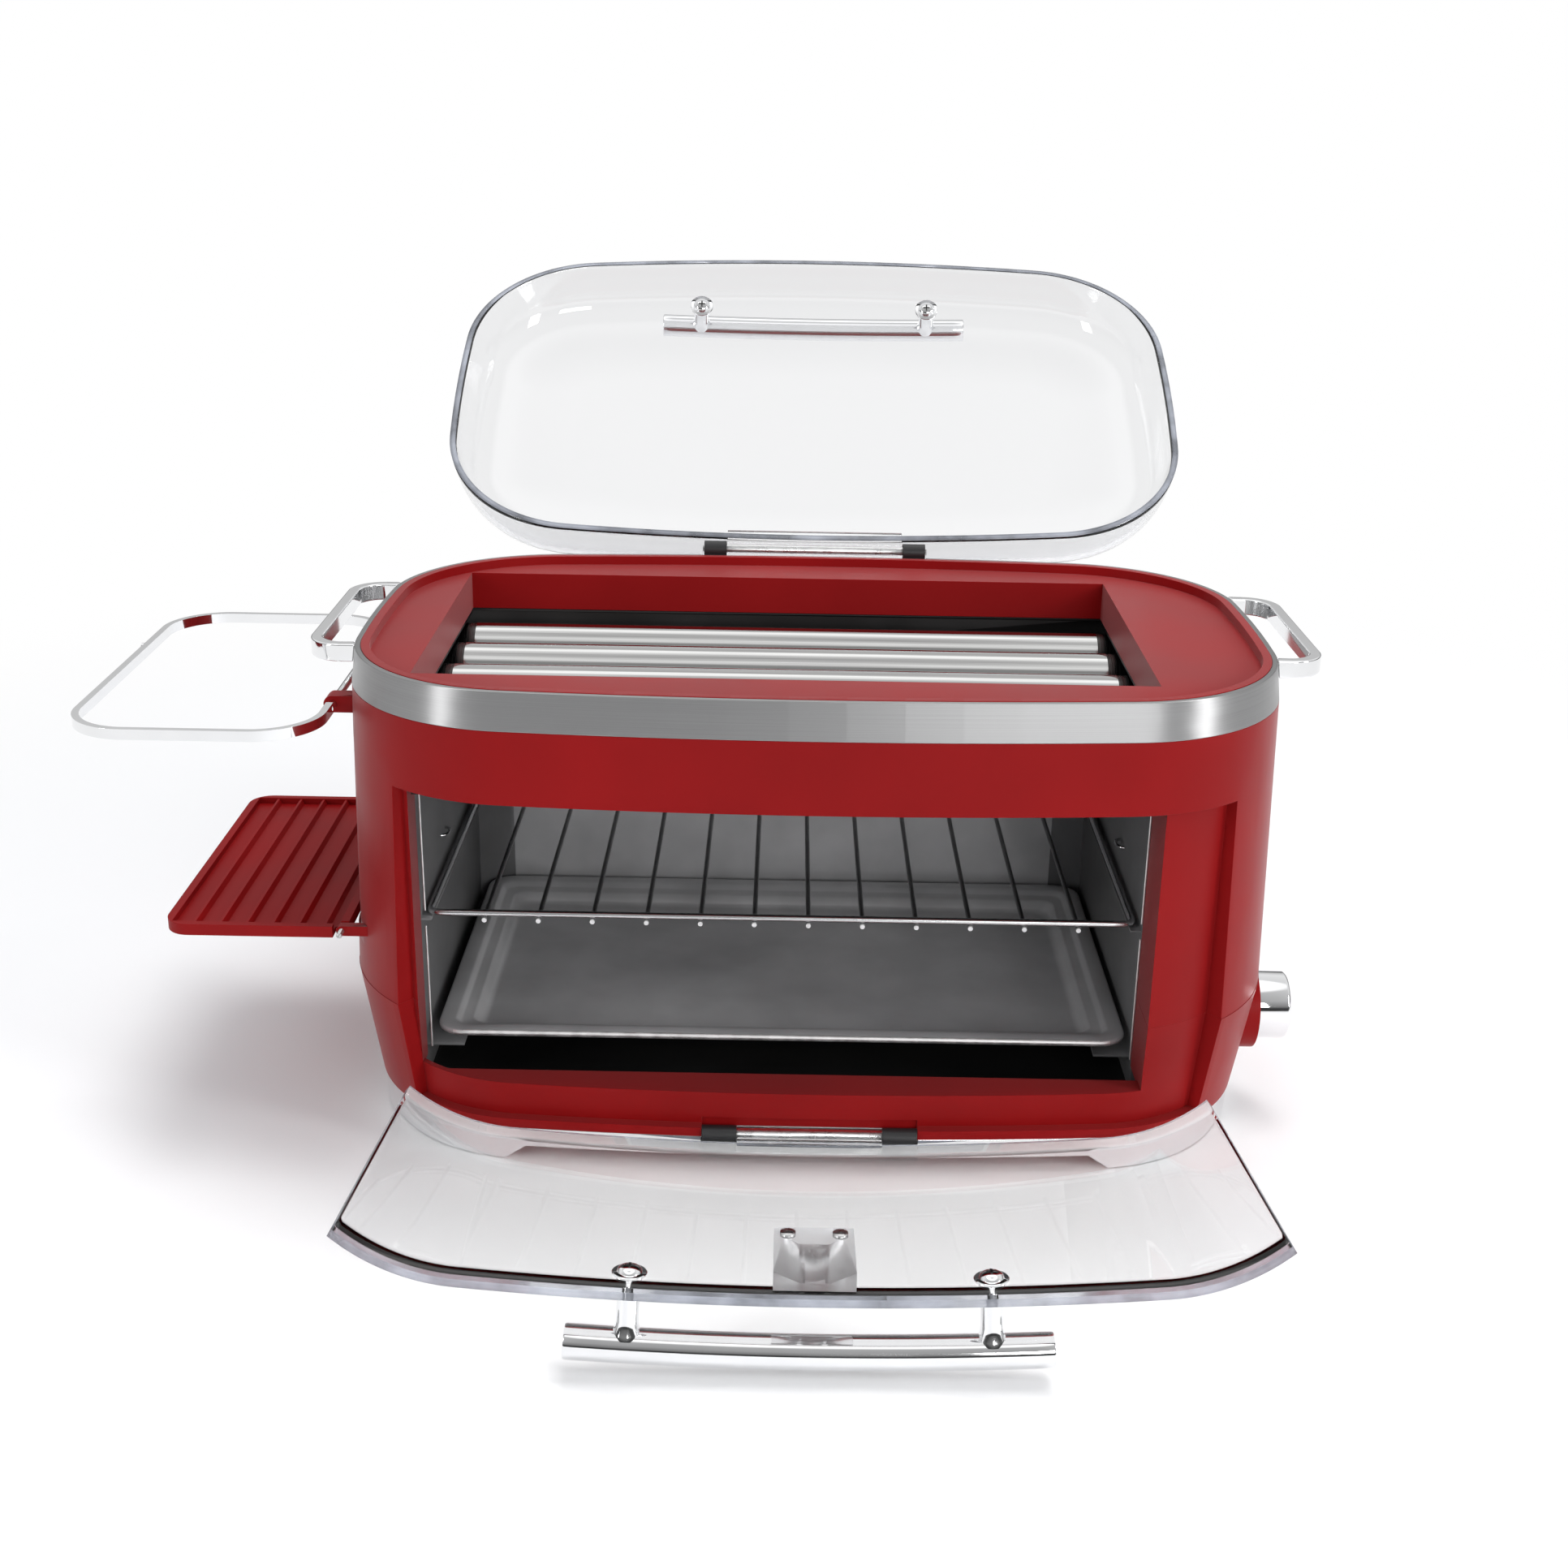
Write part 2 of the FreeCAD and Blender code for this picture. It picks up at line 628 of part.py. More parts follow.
def bearing_plate_right():
    low = pinion_z - 1.1 * v["motor_radius"]
    shape = bearing_plate_shape(plate_x_right, low)
    x = plate_x_right + v["bearing_plate"]
    posts = [rod_x(x - 1, motor_x, pinion_y + side * 0.8 * v["motor_radius"], motor_ear_z, 3) for side in (-1, 1)]
    return union([shape] + posts)


def roller_bushes():
    solids = []
    for x in (plate_x_left, plate_x_right):
        for y in roller_y:
            bush = rod_x(x, x + v["bearing_plate"], y, v["roller_axis_z"], v["bush_radius"])
            bore = rod_x(x - 1, x + 9, y, v["roller_axis_z"], v["shaft_radius"] + v["running_gap"])
            solids.append(bush.cut(bore))
    return Part.makeCompound(solids)


def idler_pins():
    x0 = plate_x_right + v["bearing_plate"]
    return Part.makeCompound([rod_x(x0, shaft_right, y, v["roller_axis_z"], v["idler_pin_radius"]) for y in idler_y])


motor_ear_z = pinion_z - 0.7 * v["motor_radius"]


def drive_motor():
    body = rod_x(motor_x, motor_x + v["motor_length"], pinion_y, pinion_z, v["motor_radius"])
    span = v["motor_radius"] * 1.1
    ear = block(motor_x, motor_x + 2, pinion_y - span, pinion_y + span, motor_ear_z - 6, motor_ear_z + 6)
    spindle = rod_x(gear_x, motor_x + 1, pinion_y, pinion_z, v["idler_pin_radius"])
    return union([body, ear, spindle])


# Parametric bodies


def role(body, name):
    """One of a body's own origin planes or axes."""
    return [item for item in body.Origin.OriginFeatures if item.Role == name][0]


def new_body(label):
    body = doc.addObject("PartDesign::Body", label)
    return keep(body, label)


def new_sketch(body, name, plane, height=None):
    sketch = body.newObject("Sketcher::SketchObject", name)
    sketch.AttachmentSupport = [(role(body, plane), "")]
    sketch.MapMode = "FlatFace"
    if height:
        sketch.setExpression("AttachmentOffset.Base.z", cells(height))
    return sketch


def closed_profile(sketch, points):
    """Closed outline of straight lines whose corners follow expressions."""
    values = [Vector(number(a), number(b), 0) for a, b in points]
    count = len(values)
    for i in range(count):
        sketch.addGeometry(Part.LineSegment(values[i], values[(i + 1) % count]), False)
    for i in range(count):
        constrain(sketch, "Coincident", i, 2, (i + 1) % count, 1)
    for i, (a, b) in enumerate(points):
        drive_point(sketch, i, a, b, values[i])


def constrain(sketch, kind, *args):
    return sketch.addConstraint(Sketcher.Constraint(kind, *args))


def drive_point(sketch, line, a, b, value):
    """Hold a line's start at two driven distances from the sketch's origin."""
    for kind, text, size in (("DistanceX", a, value.x), ("DistanceY", b, value.y)):
        if abs(size) < 1e-9:
            axis = -2 if kind == "DistanceX" else -1
            constrain(sketch, "PointOnObject", line, 1, axis)
            continue
        index = constrain(sketch, kind, -1, 1, line, 1, size)
        sketch.setExpression("Constraints[%d]" % index, cells(text))


def driven_circle(sketch, radius, x=None, y=None):
    """Circle whose radius, and centre if given, follow expressions."""
    place = Vector(number(x) if x else 0, number(y) if y else 0, 0)
    index = sketch.addGeometry(Part.Circle(place, Vector(0, 0, 1), number(radius)), False)
    if not x and not y:
        constrain(sketch, "Coincident", index, 3, -1, 1)
    else:
        for kind, text, size, axis in (("DistanceX", x, place.x, -2), ("DistanceY", y, place.y, -1)):
            if not text:
                constrain(sketch, "PointOnObject", index, 3, axis)
                continue
            item = constrain(sketch, kind, -1, 1, index, 3, size)
            sketch.setExpression("Constraints[%d]" % item, cells(text))
    item = constrain(sketch, "Radius", index, number(radius))
    sketch.setExpression("Constraints[%d]" % item, cells(radius))


def revolved(label, points, placement):
    """Body turned about its own Z axis from an outline of (radius, height) pairs."""
    body = new_body(label)
    sketch = new_sketch(body, label + "_outline", "XZ_Plane")
    closed_profile(sketch, points)
    turn = body.newObject("PartDesign::Revolution", label + "_turn")
    turn.Profile = sketch
    turn.ReferenceAxis = (sketch, ["V_Axis"])
    turn.Angle = 360
    body.Tip = turn
    body.Placement = placement
    return body


def gear(label, teeth, bore, phase, placement):
    """Spur gear along its own Z axis, with a tooth at the phase angle."""
    body = new_body(label)
    disc = new_sketch(body, label + "_disc", "XY_Plane")
    root = "gear_module * (%s / 2 - 1.15)" % teeth
    driven_circle(disc, root)
    driven_circle(disc, bore)
    pad = body.newObject("PartDesign::Pad", label + "_blank")
    pad.Profile = disc
    pad.setExpression("Length", cells("gear_width"))
    tooth = new_sketch(body, label + "_tooth_outline", "XY_Plane")
    low = "gear_module * (%s / 2 - 1.4)" % teeth
    tip = "gear_module * (%s / 2 + 0.85)" % teeth
    closed_profile(tooth, [(low, "gear_module * -0.85"), (tip, "gear_module * -0.3"),
                           (tip, "gear_module * 0.3"), (low, "gear_module * 0.85")])
    rib = body.newObject("PartDesign::Pad", label + "_tooth")
    rib.Profile = tooth
    rib.setExpression("Length", cells("gear_width"))
    ring = body.newObject("PartDesign::PolarPattern", label + "_teeth")
    ring.Originals = [rib]
    ring.Axis = (disc, ["N_Axis"])
    ring.Angle = 360
    ring.setExpression("Occurrences", cells(teeth))
    body.Tip = ring
    body.Placement = placement * Placement(Vector(0, 0, 0), Rotation(Vector(0, 0, 1), phase))
    return body


ALONG_X = Rotation(Vector(0, 1, 0), Vector(0, 0, 1), Vector(1, 0, 0), "XYZ")


def rollers():
    """Five hollow rollers, each with its gear and the idlers between them."""
    profile = [("shaft_bore", "0"), ("shaft_radius", "0"), ("shaft_radius", "collar_low"),
               ("roller_radius", "collar_low"), ("roller_radius", "collar_high"),
               ("shaft_radius", "collar_high"), ("shaft_radius", "shaft_length"), ("shaft_bore", "shaft_length"),
               ("shaft_bore", "collar_high - 2 * roller_wall"),
               ("roller_radius - roller_wall", "collar_high - 2 * roller_wall"),
               ("roller_radius - roller_wall", "collar_low + 2 * roller_wall"),
               ("shaft_bore", "collar_low + 2 * roller_wall")]
    for k, y in enumerate(roller_y, start=1):
        place = Placement(Vector(shaft_left, y, v["roller_axis_z"]), ALONG_X)
        revolved("roller_%d" % k, profile, place)
        half_tooth = 0 if k % 2 else 180 / v["roller_teeth"]
        place = Placement(Vector(gear_x, y, v["roller_axis_z"]), ALONG_X)
        gear("roller_gear_%d" % k, "roller_teeth", "shaft_radius + running_gap", half_tooth, place)
    for k, y in enumerate(idler_y, start=1):
        place = Placement(Vector(gear_x, y, v["roller_axis_z"]), ALONG_X)
        first_tooth = 0 if k % 2 else 180 / v["idler_teeth"]
        gear("idler_gear_%d" % k, "idler_teeth", "idler_pin_radius + running_gap", first_tooth, place)
    place = Placement(Vector(gear_x, pinion_y, pinion_z), ALONG_X)
    gear("motor_pinion", "pinion_teeth", "idler_pin_radius + running_gap", 0, place)


# Oven


def oven_wall():
    """The oven's upright sheet, with its front left open and its back corners cut by the casing."""
    t = v["sheet_metal"]
    near = v["casing_foot_offset"] - v["casing_wall"] - v["small_gap"]
    z0 = v["oven_floor_z"]
    z1 = v["liner_bottom"] - v["small_gap"]
    outside = block(v["oven_left"] - t, v["oven_right"] + t, v["oven_front"], v["oven_back"] + t, z0, z1)
    inside = block(v["oven_left"], v["oven_right"], v["oven_front"] - t, v["oven_back"], z0 - 1, z1 + 1)
    return outside.common(oval_prism(near, 0, TALL)).cut(inside.common(oval_prism(near - t, 0, TALL)))


def oven_side(x_wall, outward):
    """Side panel with its front flange, rack runner, tray runner and heater holes."""
    t = v["sheet_metal"]
    x_out = x_wall + outward * t
    z0 = v["oven_floor_z"]
    z1 = v["liner_bottom"] - v["small_gap"]
    y0 = v["oven_front"]
    y1 = v["oven_back"]

    def slab(xa, xb, *rest):
        return block(min(xa, xb), max(xa, xb), *rest)

    inward = -outward
    rack_low = v["rack_z"] - v["rack_frame_radius"] - v["small_gap"]
    tray_low = v["tray_bottom"] - v["small_gap"]
    parts = [oven_wall().common(slab(x_wall + inward * v["runner_width"], x_out, y0, TALL, 0, TALL)),
             slab(x_wall, x_wall + outward * v["oven_flange"], y0, y0 + t, z0, z1),
             slab(x_out, x_wall + inward * (v["rack_side_gap"] + 1), y0 + 4, y1 - 15, rack_low - t, rack_low),
             slab(x_out, x_wall + inward * v["runner_width"], y0 + 4, y1 - 15, tray_low - t, tray_low)]
    shape = union(parts)
    holes = [rod_x(-TALL, TALL, y, z, v["heater_radius"] + v["small_gap"])
             for y in (v["heater_front_y"], v["heater_back_y"]) for z in (v["lower_heater_z"], v["upper_heater_z"])]
    return shape.cut(holes)


def oven_floor():
    t = v["sheet_metal"]
    z = v["oven_floor_z"]
    x0 = v["oven_left"] - t
    x1 = v["oven_right"] + t
    shape = block(x0, x1, v["oven_front"], v["oven_back"] + t, z - t, z)
    shape = shape.common(oval_prism(v["casing_foot_offset"] - v["casing_wall"] - v["small_gap"], 0, TALL))
    feet = [rod_z(v["ring_height"], z - t / 2, x, y, 4 * t) for x in (x0 + 20, x1 - 20)
            for y in (v["oven_front"] + 20, v["oven_back"] - 20)]
    return union([shape] + feet)


def heater(z):
    over = 5 * v["sheet_metal"]
    rods = [rod_x(v["oven_left"] - over, v["oven_right"] + over, y, z, v["heater_radius"])
            for y in (v["heater_front_y"], v["heater_back_y"])]
    return Part.makeCompound(rods)


def wire_rack():
    z = v["rack_z"]
    r = v["rack_frame_radius"]
    x0 = v["oven_left"] + v["rack_side_gap"]
    x1 = v["oven_right"] - v["rack_side_gap"]
    y0 = v["rack_front_y"]
    y1 = v["rack_back_y"]
    bend = 4 * r
    path = rounded_rectangle(x0, x1, y0, y1, bend, z)
    start = path.Edges[0].Vertexes[0].Point
    section = Part.Wire(Part.makeCircle(r, start, path.Edges[0].tangentAt(path.Edges[0].FirstParameter)))
    frame = path.makePipeShell([section], True, True)
    middle = v["well_centre_x"] - 0.1
    first = middle - (v["rod_count"] - 1) * v["rod_pitch"] / 2
    rods = [rod_y(y0, y1, first + k * v["rod_pitch"], z, v["rack_rod_radius"]) for k in range(int(v["rod_count"]))]
    return union([frame] + rods)


def rounded_rectangle(x0, x1, y0, y1, radius, z):
    """Closed wire of four straight runs and four corner arcs."""
    centres = [(x1 - radius, y0 + radius, -90), (x1 - radius, y1 - radius, 0),
               (x0 + radius, y1 - radius, 90), (x0 + radius, y0 + radius, 180)]
    edges = []
    ends = []
    for cx, cy, angle in centres:
        a = math.radians(angle)
        arc = arc_about(Vector(cx, cy, 0), radius, a, a + math.pi / 2, z)
        ends.append(arc)
    for i, arc in enumerate(ends):
        following = ends[(i + 1) % 4]
        edges.append(arc)
        start = arc.valueAt(arc.LastParameter)
        edges.append(Part.LineSegment(start, following.valueAt(following.FirstParameter)).toShape())
    return Part.Wire(edges)


def baking_tray():
    t = v["sheet_metal"]
    x0, x1 = v["tray_left"], v["tray_right"]
    y0, y1 = v["tray_front_y"], v["tray_back_y"]
    low, top = v["tray_bottom"], v["tray_top"]
    inset = v["tray_inset"]
    corner = v["tray_corner"]

    def rect(shift, z):
        return rounded_rectangle(x0 + shift, x1 - shift, y0 + shift, y1 - shift, corner - min(shift, corner / 2), z)

    lip = 4 * t
    outer = Part.makeLoft([rect(inset, low), rect(lip, top)], True, True)
    inner = Part.makeLoft([rect(inset + t, low + t), rect(lip + t, top + t)], True, True)
    rim = Part.Face(rect(0, top - t)).extrude(Vector(0, 0, t))
    rim = rim.cut(Part.Face(rect(lip + t, top - 2 * t)).extrude(Vector(0, 0, 4 * t)))
    return union([outer.cut(inner), rim])


# Lid

lid_seat = v["rim_top"] + v["lid_seat_gap"]
LID_OPEN = Placement(Vector(0, 0, 0), Rotation(Vector(1, 0, 0), -v["lid_open_angle"]),
                     Vector(0, v["lid_hinge_y"], v["lid_hinge_z"]))
# Dome of the lid: distance in from its edge, and height above it
DOME = [(0.0, 0.0), (1.6, 12.0), (4.6, 21.0), (9.5, 27.5), (19.0, 33.0), (36.0, 36.8), (58.0, 38.0)]


def dome_profile(wall):
    """The dome's section moved in square to itself by the wall."""
    moved = []
    for i, (s, z) in enumerate(DOME):
        before = DOME[max(i - 1, 0)]
        after = DOME[min(i + 1, len(DOME) - 1)]
        run = after[0] - before[0]
        rise = after[1] - before[1]
        length = math.hypot(run, rise)
        moved.append((s + wall * rise / length, z - wall * run / length))
    moved[0] = (wall, 0.0)
    return moved


def lid_shell(wall):
    levels = [(lid_seat + z, v["lid_offset"] - s) for s, z in dome_profile(wall)]
    if wall:
        levels = [(lid_seat - 1, levels[0][1])] + levels
    return oval_loft(levels)


def lid_handle_frame():
    """Placement of the lid's handle, its X along the post, its Z along the lid."""
    tilt = math.radians(v["lid_handle_tilt"])
    out = Vector(0, -math.cos(tilt), math.sin(tilt))
    up = Vector(0, math.sin(tilt), math.cos(tilt))
    base = Vector(0, -v["lid_handle_s"], lid_seat + v["lid_handle_rise"])
    base = base + out * v["lid_wall"]
    return Placement(base, Rotation(out, up.cross(out), up, "XYZ"))


def lid():
    y = v["lid_hinge_y"]
    z = v["lid_hinge_z"]
    x0, x1 = v["lid_bracket_left"], v["lid_bracket_right"]
    hollow = lid_shell(v["lid_wall"])
    leaf_low = v["rim_top"] + 0.5
    leaf = block(x0, x1, v["rim_half_depth"] - 4 * v["lid_wall"], y, leaf_low, leaf_low + v["lid_wall"])
    shell = union([lid_shell(0.0), leaf, rod_x(x0, x1, y, z, v["lid_barrel_radius"])]).cut(hollow)
    shell = shell.cut(rod_x(x0 - 1, x1 + 1, y, z, v["pin_radius"] + v["running_gap"]))
    place = lid_handle_frame()
    for side in (-1, 1):
        foot = place.multVec(Vector(-2 * v["lid_wall"], side * v["post_half_spacing"], 0))
        way = place.Rotation.multVec(Vector(1, 0, 0))
        shell = shell.cut(Part.makeCylinder(v["handle_screw_radius"] + v["small_gap"], 20, foot, way))
    return shell


def lid_hinge_knuckles():
    y = v["lid_hinge_y"]
    z = v["lid_hinge_z"]
    r = v["lid_knuckle_radius"]
    low = v["lid_hinge_z"] - r - 2 * v["pin_radius"]
    solids = []
    for x in (v["lid_bracket_left"] - hinge_gap - v["knuckle_width"], v["lid_bracket_right"] + hinge_gap):
        far = x + v["knuckle_width"]
        foot = block(x, far, v["rim_half_depth"] + hinge_gap, y + r, low, z)
        knuckle = foot.fuse(rod_x(x, far, y, z, r))
        knuckle = knuckle.cut(rod_x(x - 1, far + 1, y, z, v["pin_radius"]))
        solids.append(knuckle.removeSplitter())
    return Part.makeCompound(solids)


def hinge_pin(x0, x1, y, z):
    return rod_x(x0, x1, y, z, v["pin_radius"])


# Door

DOOR_OPEN = Placement(Vector(0, 0, 0), Rotation(Vector(1, 0, 0), v["door_open_angle"]),
                      Vector(0, v["door_hinge_y"], v["door_hinge_z"]))
door_face_y = -v["rim_half_depth"] - v["door_offset"]


def door_panel():
    wall = v["door_wall"]
    z0, z1 = v["door_bottom"], v["door_top"]
    plate = oval_prism(v["door_offset"], z0, z1).cut(oval_prism(v["door_offset"] - wall, z0 - 1, z1 + 1))
    plate = plate.common(front_sector(v["door_half_width"], z0, z1))
    x0, x1 = v["door_barrel_left"], v["door_barrel_right"]
    y, z = v["door_hinge_y"], v["door_hinge_z"]
    leaf = block(x0, x1, door_face_y + hinge_gap, y, z, z0 + wall)
    shape = union([plate, leaf, rod_x(x0, x1, y, z, v["door_barrel_radius"])])
    shape = shape.cut(rod_x(x0 - 1, x1 + 1, y, z, v["pin_radius"] + v["running_gap"]))
    for side in (-1, 1):
        hole = rod_y(-TALL, 0, side * v["post_half_spacing"], v["door_handle_z"],
                     v["handle_screw_radius"] + v["small_gap"])
        shape = shape.cut(hole)
    return shape


def door_hinge_knuckles():
    y, z = v["door_hinge_y"], v["door_hinge_z"]
    r = v["door_barrel_radius"]
    solids = []
    for x in (knuckle_left, v["door_barrel_right"] + hinge_gap):
        far = x + v["door_knuckle_width"]
        foot = block(x, far, y - r / 2, y + r, seat_z, z)
        knuckle = foot.fuse(rod_x(x, far, y, z, r)).cut(rod_x(x - 1, far + 1, y, z, v["pin_radius"]))
        solids.append(knuckle.removeSplitter())
    return Part.makeCompound(solids)


def latch_block():
    x0 = v["latch_centre_x"] - v["latch_width"] / 2
    y0 = door_face_y + v["door_wall"] + v["small_gap"]
    z0 = v["latch_bottom"]
    z1 = z0 + v["latch_height"]
    shape = block(x0, x0 + v["latch_width"], y0, y0 + v["latch_depth"], z0, z1)
    shape = shape.cut(block(x0 + 9, x0 + v["latch_width"] - 9, y0 + 3, y0 + 9, z0 + 14, z1 + 1))
    tongue = block(x0 + 11, x0 + v["latch_width"] - 11, y0 + 3, y0 + 5, z0 + 13, z1 + 1)
    shape = union([shape, tongue])
    for x in latch_screw_x():
        shape = shape.cut(rod_y(-TALL, 0, x, z0 + 7, 1.7))
    return shape


def latch_screw_x():
    x0 = v["latch_centre_x"] - v["latch_width"] / 2
    return (x0 + 5, x0 + v["latch_width"] - 5)


def latch_screws():
    y0 = door_face_y + v["door_wall"] + v["small_gap"]
    y1 = y0 + v["latch_depth"]
    z = v["latch_bottom"] + 7
    solids = [rod_y(y0, y1 + 1, x, z, 1.6).fuse(rod_y(y1, y1 + 1.6, x, z, 2.8)) for x in latch_screw_x()]
    return Part.makeCompound([solid.removeSplitter() for solid in solids])


def door_catch():
    x = v["latch_centre_x"]
    y0 = door_face_y + v["door_wall"] + v["latch_depth"] + 1
    return block(x - 8, x + 8, y0, y0 + 8, v["recess_top"] - 2.5, v["recess_top"])


# Bar handles


def bar_handle(name, frame, panel):
    """Curved bar, two posts and two screws, placed on the outer face of a panel."""
    body = new_body(name + "_handle_bar")
    sketch = new_sketch(body, name + "_bar_section", "XZ_Plane")
    driven_circle(sketch, "bar_radius", x="bar_arc_radius")
    turn = body.newObject("PartDesign::Revolution", name + "_bar_sweep")
    turn.Profile = sketch
    turn.ReferenceAxis = (sketch, ["V_Axis"])
    turn.Midplane = True
    turn.setExpression("Angle", cells("2 * asin(bar_half_length / bar_arc_radius)"))
    body.Tip = turn
    shift = v["bar_stand_off"] - v["bar_arc_radius"]
    body.Placement = frame * Placement(Vector(shift, 0, 0), Rotation())
    out = Rotation(Vector(0, 1, 0), Vector(0, 0, 1), Vector(1, 0, 0), "XYZ")
    posts = []
    screws = []
    for side in (-1, 1):
        swing = Rotation(Vector(0, 0, 1), math.degrees(side * v["post_half_spacing"] / v["bar_arc_radius"]))
        radius = v["bar_arc_radius"] - v["bar_stand_off"]
        place = frame * Placement(Vector(-radius, 0, 0), swing) * Placement(Vector(radius, 0, 0), out)
        shaft = Part.makeCylinder(v["post_radius"], v["bar_stand_off"] - v["bar_radius"] + 1)
        flare_low = v["bar_stand_off"] - v["bar_radius"] - 3
        flare = Part.makeCone(v["post_radius"], v["post_flare_radius"], 4, Vector(0, 0, flare_low))
        post = shaft.fuse(flare).removeSplitter()
        posts.append(post.transformGeometry(place.toMatrix()))
        head = Part.makeCylinder(v["handle_screw_head"], 1.0, Vector(0, 0, -panel - 1.2))
        dome = Part.makeCone(0.6 * v["handle_screw_head"], 0.95 * v["handle_screw_head"], 2.4,
                             Vector(0, 0, -panel - 3.5))
        shank = Part.makeCylinder(v["handle_screw_radius"], panel + 10, Vector(0, 0, -panel - 2))
        screw = head.multiFuse([dome, shank]).removeSplitter()
        screws.append(screw.transformGeometry(place.toMatrix()))
    return Part.makeCompound(posts), Part.makeCompound(screws)


# Side handles


def side_handle(side):
    z1 = v["rim_top"]
    z0 = z1 - v["grip_height"]
    inner_x = v["rim_half_length"] - 2 * v["grip_corner"]
    reach = v["grip_reach"]
    half = v["grip_half_width"]
    t = v["grip_section"]
    outer = Part.Face(rounded_rectangle(inner_x, reach, -half, half, v["grip_corner"], z0))
    inner = Part.Face(rounded_rectangle(inner_x - 1, reach - t, -half + t, half - t, v["grip_corner"] - t, z0))
    shape = outer.cut(inner).extrude(Vector(0, 0, z1 - z0))
    near = [(v["band_bottom"], v["band_bottom_offset"] + v["running_gap"]),
            (v["rim_top"], v["band_top_offset"] + v["running_gap"])]
    shape = shape.cut(oval_loft(near))
    if side < 0:
        shape = shape.mirror(Vector(0, 0, 0), Vector(1, 0, 0))
    return shape


# Ring frame and folding shelf


def ring_frame():
    w = v["ring_strip_width"]
    z0 = v["ring_z"] - v["ring_strip_height"] / 2
    z1 = z0 + v["ring_strip_height"]
    x0, x1 = v["ring_outer_x"], v["ring_pivot_x"]
    half = v["ring_half_width"]
    outer = Part.Face(rounded_rectangle(x0, x1, -half, half, v["ring_corner"], z0))
    inner = Part.Face(rounded_rectangle(x0 + w, x1 - w, -half + w, half - w, v["ring_corner"] - w, z0))
    strip = outer.cut(inner).extrude(Vector(0, 0, z1 - z0))
    reach = v["ear_y"] + v["ear_width"]
    gap = block(x1 - w - 1, x1 + 1, -reach, reach, z0 - 1, z1 + 1)
    pin_x = x1 - w / 2
    pin = rod_y(-reach - 2, reach + 2, pin_x, v["ring_z"], v["ring_pin_radius"])
    knob = rod_x(x0 - 2, x0 + 1, 0.4 * half, v["ring_z"], 1.6)
    return union([strip.cut(gap), pin, knob])


def ring_ears():
    """Two lugs on the casing that carry the ring frame's pivot bar."""
    solids = []
    pin_x = v["ring_pivot_x"] - v["ring_strip_width"] / 2
    r = v["ring_pin_radius"]
    near = [(z, offset + v["running_gap"]) for z, offset in upper_taper]
    for side in (-1, 1):
        y = side * v["ear_y"]
        arm = block(pin_x, -v["rim_half_length"], y - v["ear_width"] / 2, y + v["ear_width"] / 2,
                    v["ring_z"] - 2 * r, v["ring_z"] + 2 * r)
        ear = arm.fuse(rod_y(y - v["ear_width"] / 2, y + v["ear_width"] / 2, pin_x, v["ring_z"], 2 * r))
        ear = ear.cut(oval_loft(near))
        ear = ear.cut(rod_y(-TALL, TALL, pin_x, v["ring_z"], r + v["running_gap"]))
        solids.append(ear.removeSplitter())
    return Part.makeCompound(solids)


def folding_shelf():
    x0, x1 = v["shelf_outer_x"], v["shelf_pivot_x"]
    half = v["shelf_half_width"]
    z1 = v["shelf_pivot_z"] + v["shelf_thickness"] / 2
    z0 = z1 - v["shelf_thickness"]
    rim = v["shelf_rim"]
    floor_top = z0 + v["shelf_floor"]
    plate = block(x0, x1, -half, half, z0, z1)
    pan = block(x0 + rim, x1 - rim, -half + rim, half - rim, floor_top, z1 + 1)
    ribs = []
    reach = half - rim / 2
    for k in range(1, int((x1 - x0 - 2 * rim) / v["rib_pitch"]) + 1):
        x = x0 + rim / 2 + k * v["rib_pitch"]
        foot, crest = v["rib_foot"] / 2, v["rib_crest"] / 2
        section = [Vector(x - foot, -reach, floor_top - 0.5), Vector(x - crest, -reach, z1 - 0.4),
                   Vector(x + crest, -reach, z1 - 0.4), Vector(x + foot, -reach, floor_top - 0.5)]
        face = Part.Face(Part.makePolygon(section + section[:1]))
        ribs.append(face.extrude(Vector(0, 2 * reach, 0)))
    corners = [edge for edge in plate.Edges if edge.BoundBox.ZLength > 1 and edge.BoundBox.XMax < x0 + 1]
    plate = plate.makeFillet(3 * rim, corners)
    shape = union([plate.cut(pan)] + ribs)
    shape = shape.cut([block(x1 - 6, x1 + 1, side * half - 6, side * half + 6, z0 - 1, z1 + 1) for side in (-1, 1)])
    bore = rod_y(-half - 1, half + 1, x1 - 2.5, v["shelf_pivot_z"], v["shelf_pin_radius"] + v["running_gap"])
    return shape.cut(bore)


def shelf_pin():
    half = v["shelf_half_width"]
    return rod_y(-half - 3.5, half + 3.5, v["shelf_pivot_x"] - 2.5, v["shelf_pivot_z"], v["shelf_pin_radius"])


def shelf_ears():
    """Two lugs in the pocket that hold the shelf's pin."""
    solids = []
    half = v["shelf_half_width"]
    x = v["shelf_pivot_x"] - 2.5
    near = [(z, offset + v["running_gap"]) for z, offset in upper_taper]
    for side in (-1, 1):
        y = side * (half - 3.2)
        arm = block(x, -v["rim_half_length"] + 6, y - 2, y + 2, v["shelf_pivot_z"] - 2.2, v["shelf_pivot_z"] + 2.2)
        ear = arm.fuse(rod_y(y - 2, y + 2, x, v["shelf_pivot_z"], 2.2))
        solids.append(ear)
    casing = [node for node in nodes if node.Label == "upper_casing"][0].Shape
    pin = shelf_pin()
    outside = [max(ear.cut(casing).Solids, key=lambda solid: solid.Volume) for ear in solids]
    return Part.makeCompound([ear.cut(pin) for ear in outside])


# Control knob and mains inlet


